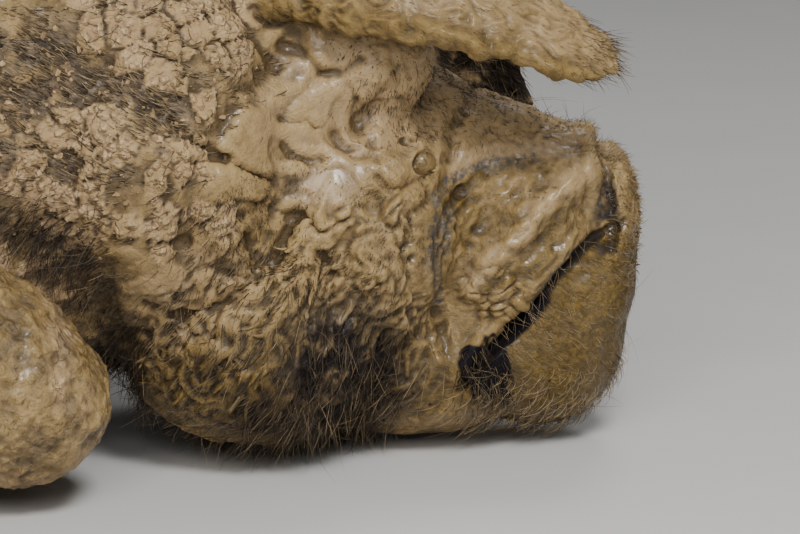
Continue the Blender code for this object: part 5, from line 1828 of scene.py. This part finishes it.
class PIG_OT_jowl_coat(bpy.types.Operator):
    """Lay the mud-soaked tongues of hair on the jowls and the long dark hair among them"""

    bl_idname = "pig.jowl_coat"
    bl_label = "Jowl Coat"

    def execute(self, context):
        coat, skin = context.scene.pig_coat, SkinData()
        tufts = Tufts(skin, 5)
        clear = 1.0 - skin.face_mark("ear")
        jowl = skin.area("jowl", 0.25) * clear
        tongues = jowl * (1.0 - 0.95 * skin.area("dark_jowl", 0.4))
        tongues *= smoothstep(51.0, 48.5, skin.centres[:, 0]) * (1.0 - skin.area("jowl_mud", 0.4))
        dark = most(skin.area("dark_jowl", 0.3), jowl * 0.25)
        dark = most(dark, jowl * skin.face_mark("black") * 0.7) * clear
        tufts.plant(tongues, coat.jowl_tongues // 3, long=(0.7, 1.4), wide=(0.22, 0.5), rise=(-0.08, 0.02),
                    spread=0.18, muddy=1.0, pale=0.0, clump=(1.8, 0.8), flat=0.35, sides=6, sink=0.3,
                    rings=LONG, curl=0.1)
        tufts.plant(tongues, coat.jowl_tongues * 2, long=(0.5, 1.4), wide=(0.035, 0.08), rise=(0.0, 0.25),
                    muddy=0.45, pale=0.1, clump=(0.9, 0.6), flat=0.7, curl=0.3)
        tufts.plant(jowl, coat.jowl_hairs // 3, long=(0.5, 1.5), wide=(0.03, 0.05), rise=(0.2, 0.7),
                    spread=0.25, muddy=0.2)
        tufts.plant(dark, coat.jowl_hairs, long=(1.2, 2.9), wide=(0.03, 0.06), rise=(0.1, 0.5),
                    spread=0.3, muddy=0.08, pale=0.16, clump=(1.3, 0.5), curl=0.4)
        tufts.plant(dark, coat.jowl_hairs // 16, long=(1.4, 3.8), wide=(0.028, 0.042), rise=(0.25, 0.8),
                    lie=(-0.6, 0.1, -1.0), spread=0.3, muddy=0.05, pale=BLEACHED, curl=0.15, rings=LONG)
        tufts.grow("jowl_coat", coat_material(context.scene.pig_colours, "jowl_hair"))
        return {"FINISHED"}


class PIG_OT_chin_coat(bpy.types.Operator):
    """Plant the bristles of the chin, its curled fringe and the fine hairs across the mouth"""

    bl_idname = "pig.chin_coat"
    bl_label = "Chin Coat"

    def execute(self, context):
        coat, skin = context.scene.pig_coat, SkinData()
        tufts = Tufts(skin, 2)
        open_skin = 1.0 - np.minimum(1.0, skin.face_mark("inside") * 2.0)
        chin = skin.face_mark("chin") * open_skin
        low = chin * (skin.centres[:, 2] < 6.0) * (skin.centres[:, 0] > 50.0)
        seam = distance_to_line(profile(skin.centres), MOUTH[2:])
        lip = smoothstep(1.2, 0.6, seam) * (1.0 - skin.face_mark("chin")) * open_skin
        rim = skin.area("rim", 0.25) * open_skin
        corner = skin.face_mark("corner")
        tufts.plant(chin, coat.chin_bristles // 3, long=(0.4, 1.0), wide=(0.03, 0.05), rise=(0.0, 0.12),
                    spread=0.14, muddy=0.95, pale=0.0, flat=0.8)
        tufts.plant(chin, coat.chin_bristles // 3, long=(0.6, 1.4), wide=(0.022, 0.032), rise=(0.03, 0.25),
                    spread=0.14, muddy=0.05, pale=6.0)
        tufts.plant(low, coat.chin_bristles // 3, long=(1.0, 2.3), wide=(0.03, 0.055), rise=(0.7, 1.5),
                    lie=(-0.15, 0.0, -1.0), spread=0.25, muddy=0.15, pale=2.4, drift=(-0.55, 0.0, 0.3),
                    rings=LONG)
        tufts.plant(lip, coat.lip_hairs // 3, long=(0.9, 1.9), wide=(0.024, 0.036), rise=(0.2, 0.5),
                    lie=(0.75, 0.3, -0.75), spread=0.16, muddy=0.0, pale=BLEACHED, drift=(0.0, 0.0, -0.2))
        tufts.plant(rim, coat.lip_hairs * 2, long=(0.25, 0.7), wide=(0.06, 0.16), rise=(0.1, 0.5),
                    lie=(0.9, 0.5, -0.1), spread=0.22, muddy=1.0, pale=0.0, flat=0.5, sides=4)
        tufts.plant(rim, coat.lip_hairs * 2, long=(0.4, 1.0), wide=(0.025, 0.04), rise=(0.3, 1.0),
                    lie=(0.9, 0.4, 0.0), spread=0.3, pale=1.6)
        tufts.plant(corner, coat.lip_hairs * 2, long=(0.6, 2.0), wide=(0.04, 0.12), rise=(0.02, 0.25),
                    lie=(0.12, 0.0, -1.0), spread=0.3, muddy=0.0, pale=0.2, clump=(0.6, 0.8), flat=0.6)
        tufts.plant(skin.area("nose_tip", 0.4), coat.lip_hairs, long=(0.3, 0.9), wide=(0.022, 0.036),
                    rise=(0.4, 1.4), lie=(0.6, 0.2, 0.8), spread=0.4, muddy=0.2, pale=3.0)
        tufts.grow("chin_coat", coat_material(context.scene.pig_colours, "chin_bristles"))
        return {"FINISHED"}


class PIG_OT_throat_coat(bpy.types.Operator):
    """Hang the long dark hair of the throat"""

    bl_idname = "pig.throat_coat"
    bl_label = "Throat Coat"

    def execute(self, context):
        coat, skin = context.scene.pig_coat, SkinData()
        tufts = Tufts(skin, 3)
        throat = skin.area("throat", 0.3) * (1.0 - skin.face_mark("leg"))
        under = skin.area("jowl", 0.3) * smoothstep(5.5, 3.0, skin.centres[:, 2])
        tufts.plant(throat, coat.throat_hairs, long=(1.5, 3.8), wide=(0.035, 0.07), rise=(0.1, 0.6),
                    spread=0.28, muddy=0.02, pale=0.12, clump=(1.8, 0.6), rings=LONG, curl=0.35)
        tufts.plant(under, coat.throat_hairs // 4, long=(0.8, 2.6), wide=(0.03, 0.05), rise=(0.4, 1.2),
                    spread=0.5, muddy=0.1, rings=LONG, curl=0.5)
        tufts.plant(under, coat.throat_hairs // 26, long=(1.5, 3.6), wide=(0.028, 0.042), rise=(0.5, 1.3),
                    lie=(-0.3, 0.2, -1.0), spread=0.35, muddy=0.05, pale=BLEACHED, rings=LONG)
        tufts.plant(throat, coat.throat_hairs // 40, long=(1.5, 3.6), wide=(0.022, 0.034), rise=(0.2, 0.8),
                    spread=0.35, muddy=0.05, pale=BLEACHED, rings=LONG, curl=0.3)
        tufts.grow("throat_coat", coat_material(context.scene.pig_colours, "throat_hair"))
        return {"FINISHED"}


class PIG_OT_body_coat(bpy.types.Operator):
    """Lay the flat coat of the neck, the trunk and the rump"""

    bl_idname = "pig.body_coat"
    bl_label = "Body Coat"

    def execute(self, context):
        coat, skin = context.scene.pig_coat, SkinData()
        material = coat_material(context.scene.pig_colours, "body_hair")
        plain = (1.0 - skin.face_mark("leg")) * (1.0 - skin.face_mark("ear"))
        bare = skin.face_mark("bare")
        neck = smoothstep(22.0, 25.0, skin.centres[:, 0]) * smoothstep(46.0, 40.0, skin.centres[:, 0])
        neck *= plain * np.maximum(bare, 0.004) * (1.0 - skin.area("throat", 0.2))
        tufts = Tufts(skin, 6)
        tufts.plant(neck, coat.neck_hairs, long=(0.8, 1.7), wide=(0.04, 0.085), rise=(0.03, 0.16),
                    spread=0.13, pale=0.55, clump=(0.9, 0.35), flat=0.5, curl=0.12)
        tufts.grow("neck_coat", material)
        trunk = plain * smoothstep(27.0, 23.0, skin.centres[:, 0]) * (bare + 0.06)
        for side, word in SIDES:
            tufts = Tufts(skin, 7 + side)
            share = trunk * (skin.centres[:, 1] * side > 0.0)
            tufts.plant(share, coat.body_hairs, long=(1.3, 2.8), wide=(0.08, 0.17), rise=(0.03, 0.16),
                        spread=0.13, muddy=0.28, pale=0.5, clump=(1.5, 0.4), flat=0.4, curl=0.15)
            tufts.grow(f"body_coat_{word}", material)
        return {"FINISHED"}


class PIG_OT_limb_coat(bpy.types.Operator):
    """Plant the short bristles of the ears, the legs and the tail"""

    bl_idname = "pig.limb_coat"
    bl_label = "Ear, Leg and Tail Coat"

    def execute(self, context):
        coat, skin = context.scene.pig_coat, SkinData()
        tufts = Tufts(skin, 9)
        material = coat_material(context.scene.pig_colours, "limb_bristles")
        ear = skin.face_mark("ear")
        right = ear * (skin.centres[:, 1] < 0.0)
        left = ear * (skin.centres[:, 1] > 0.0)
        tip = right * smoothstep(61.0, 63.5, skin.centres[:, 0])
        tufts.plant(right * 0.5, coat.ear_bristles, long=(0.5, 1.3), wide=(0.03, 0.06), rise=(0.02, 0.2),
                    lie=(1.0, 0.0, -0.25), spread=0.12, muddy=0.6, pale=0.4, rings=SHORT)
        tufts.plant(left, coat.ear_bristles, long=(0.6, 1.6), wide=(0.03, 0.07), rise=(0.05, 0.35),
                    lie=(0.8, 0.2, -0.8), spread=0.15, muddy=0.15)
        tufts.plant(tip, coat.ear_tip_bristles, long=(0.8, 1.6), wide=(0.03, 0.06), rise=(0.2, 0.7),
                    lie=(1.0, 0.0, -0.5), spread=0.15, clump=(0.8, 0.6))
        tufts.grow("ear_coat", material)
        leg = skin.face_mark("leg") * smoothstep(0.3, 1.6, skin.centres[:, 2])
        tufts.plant(leg, coat.leg_bristles, long=(0.4, 1.0), wide=(0.05, 0.1), rise=(0.03, 0.2),
                    lie=(-0.6, 0.0, -0.8), muddy=0.9, pale=0.2, flat=0.5, rings=SHORT)
        tufts.grow("leg_coat", material)
        tail = smoothstep(-62.0, -66.0, skin.centres[:, 0])
        brush = tail * smoothstep(23.0, 18.0, skin.centres[:, 2])
        tufts.plant(tail, coat.tail_bristles, long=(0.6, 1.5), wide=(0.04, 0.08), rise=(0.1, 0.4),
                    lie=(-0.05, 0.1, -1.0), spread=0.15, pale=0.4)
        tufts.plant(brush, coat.tail_bristles // 3, long=(2.5, 7.0), wide=(0.04, 0.08), rise=(0.1, 0.4),
                    lie=(0.1, 0.1, -1.0), spread=0.12, muddy=0.2, pale=0.6, rings=LONG)
        tufts.grow("tail_coat", material)
        return {"FINISHED"}


class PIG_OT_strays(bpy.types.Operator):
    """Add the few long hairs that stand away from the head"""

    bl_idname = "pig.strays"
    bl_label = "Stray Hairs"

    def execute(self, context):
        coat, skin = context.scene.pig_coat, SkinData()
        tufts = Tufts(skin, 10)
        clear = 1.0 - skin.face_mark("ear")
        brow = skin.area("stubble", 0.3) * clear
        fringe = skin.area("ear_fringe", 0.3) * clear
        bridge = skin.area("bridge", 0.3) * clear
        chin = skin.face_mark("chin") * (skin.centres[:, 0] > 62.0)
        tufts.plant(brow, coat.strays, long=(2.0, 4.0), wide=(0.03, 0.045), rise=(0.8, 2.0),
                    lie=(0.4, 0.4, 0.5), spread=0.6, muddy=0.1, pale=0.2, rings=FINE, curl=0.8,
                    drift=(0.2, 0.0, -0.35))
        tufts.plant(fringe, coat.strays, long=(2.4, 5.0), wide=(0.03, 0.042), rise=(0.5, 1.3),
                    lie=(0.6, 0.9, 0.3), spread=0.45, muddy=0.05, pale=0.8, rings=FINE, curl=0.5,
                    drift=(0.3, 0.0, -0.6))
        tufts.plant(bridge, coat.strays, long=(1.6, 3.2), wide=(0.03, 0.04), rise=(0.8, 2.0),
                    lie=(0.5, 0.3, 0.6), spread=0.6, muddy=0.1, pale=0.6, rings=FINE, curl=0.8,
                    drift=(0.3, 0.0, -0.3))
        tufts.plant(skin.area("dark_jowl", 0.3), coat.strays * 2, long=(3.0, 6.0), wide=(0.03, 0.045),
                    rise=(0.3, 1.0), lie=(0.0, 0.3, -1.0), spread=0.7, muddy=0.25, pale=0.9, rings=FINE,
                    curl=0.9)
        tufts.plant(chin, coat.strays, long=(1.5, 2.8), wide=(0.025, 0.035), rise=(0.5, 1.2),
                    lie=(1.0, 0.3, -0.2), spread=0.4, muddy=0.1, pale=0.6, rings=FINE, curl=0.8)
        tufts.grow("stray_hairs", coat_material(context.scene.pig_colours, "stray_hair"))
        return {"FINISHED"}


class PIG_OT_crumbs(bpy.types.Operator):
    """Scatter crumbs of dried mud over the flat hair"""

    bl_idname = "pig.crumbs"
    bl_label = "Mud Crumbs"

    def execute(self, context):
        coat = context.scene.pig_coat
        rng = np.random.default_rng(SEED + 11)
        skin = SkinData()
        clear = (1.0 - skin.face_mark("ear")) * (1.0 - skin.face_mark("leg"))
        near = smoothstep(22.0, 25.0, skin.centres[:, 0]) * smoothstep(43.0, 40.0, skin.centres[:, 0])
        high = smoothstep(7.0, 12.0, skin.centres[:, 2])
        density = skin.face_mark("bare") * high * (near * 6.0 + 0.15) * clear
        points, normals, marks = skin.roots(density, coat.crumbs, rng)
        form = bmesh.new()
        bmesh.ops.create_icosphere(form, subdivisions=1, radius=1.0)
        crumb = from_bmesh(form, "crumb")
        shape, faces = points_of(crumb.data), np.array([list(f.vertices) for f in crumb.data.polygons])
        remove(crumb)
        size = 0.04 + 0.2 * rng.random(len(points)) ** 3
        uneven = rng.uniform(0.5, 1.5, (len(points), 1, 3))
        uneven = uneven * rng.uniform(0.55, 1.35, (len(points), len(shape), 1))
        places = (points[:, None] + shape[None] * size[:, None, None] * uneven).reshape(-1, 3)
        offset = (np.arange(len(points)) * len(shape))[:, None, None]
        number = np.repeat(np.arange(len(points)), len(shape))
        made = (places, (faces[None] + offset).reshape(-1, 3), np.zeros(len(places)), number)
        tones = with_tones(marks, 1.0, 0.0, rng)
        # Each crumb gets a random amount of painted shade or painted light.
        tones.update(dry=np.ones(len(points)), bare=np.zeros(len(points)), wet=np.zeros(len(points)),
                     cavity=rng.uniform(-0.02, 0.04, len(points)))
        material = coat_material(context.scene.pig_colours, "dry_crumbs")
        piece = coat_piece("mud_crumbs", [(made, points, tones)], material)
        piece.data.shade_flat()
        return {"FINISHED"}


class PIG_OT_studio(bpy.types.Operator):
    """Set up the plain floor, the soft lights and the camera"""

    bl_idname = "pig.studio"
    bl_label = "Studio"

    def execute(self, context):
        studio = context.scene.pig_studio
        form = bmesh.new()
        bmesh.ops.create_grid(form, x_segments=8, y_segments=8, size=FLOOR_HALF)
        floor = from_bmesh(form, "studio_floor")
        floor.data.materials.append(floor_material(context.scene.pig_colours))
        world = bpy.data.worlds.new("studio_sky")
        world.use_nodes = True
        sky = world.node_tree.nodes["Background"]
        sky.inputs["Color"].default_value = (0.95, 0.97, 1.0, 1.0)
        sky.inputs["Strength"].default_value = studio.sky
        context.scene.world = world
        target = Vector(VIEW_TARGET) * CM + Vector(SHIFT)
        for name, spot, size in LAMPS:
            light = bpy.data.lights.new(name, "AREA")
            light.energy = getattr(studio, f"{name}_power")
            light.size = size
            lamp = add(light, name)
            lamp.location = target + Vector(spot)
            lamp.rotation_euler = (-Vector(spot)).to_track_quat("-Z", "Y").to_euler()
        camera = add(bpy.data.cameras.new("studio_camera"), "studio_camera")
        camera.data.lens = studio.lens
        camera.data.sensor_width = SENSOR_WIDTH
        camera.data.clip_end = VIEW_RANGE
        back = Vector((0.0, -math.cos(studio.elevation), math.sin(studio.elevation)))
        camera.location = target + back * studio.distance
        camera.rotation_euler = (-back).to_track_quat("-Z", "Y").to_euler()
        context.scene.camera = camera
        return {"FINISHED"}


class PIG_PT_panel(bpy.types.Panel):
    """Lists the steps in the order in which they run"""

    bl_label = "Pig"
    bl_idname = "PIG_PT_panel"
    bl_space_type = "VIEW_3D"
    bl_region_type = "UI"
    bl_category = "Pig"

    def draw(self, context):
        for operator in OPERATORS:
            self.layout.operator(operator.bl_idname)


OPERATORS = (
    PIG_OT_skin,
    PIG_OT_eyes,
    PIG_OT_claws,
    PIG_OT_face_coat,
    PIG_OT_jowl_coat,
    PIG_OT_chin_coat,
    PIG_OT_throat_coat,
    PIG_OT_body_coat,
    PIG_OT_limb_coat,
    PIG_OT_strays,
    PIG_OT_crumbs,
    PIG_OT_studio,
)
GROUPS = (
    ("pig_shape", PigShape),
    ("pig_colours", PigColours),
    ("pig_coat", PigCoat),
    ("pig_studio", PigStudio),
)


def register():
    for name, group in GROUPS:
        bpy.utils.register_class(group)
        setattr(bpy.types.Scene, name, PointerProperty(type=group))
    for operator in OPERATORS:
        bpy.utils.register_class(operator)
    bpy.utils.register_class(PIG_PT_panel)


def unregister():
    bpy.utils.unregister_class(PIG_PT_panel)
    for operator in reversed(OPERATORS):
        bpy.utils.unregister_class(operator)
    for name, group in reversed(GROUPS):
        delattr(bpy.types.Scene, name)
        bpy.utils.unregister_class(group)


SHIFT = frame_shift()


def main():
    """Runs every step in order."""
    register()
    for operator in OPERATORS:
        group, name = operator.bl_idname.split(".")
        getattr(getattr(bpy.ops, group), name)()


if __name__ == "__main__":
    main()
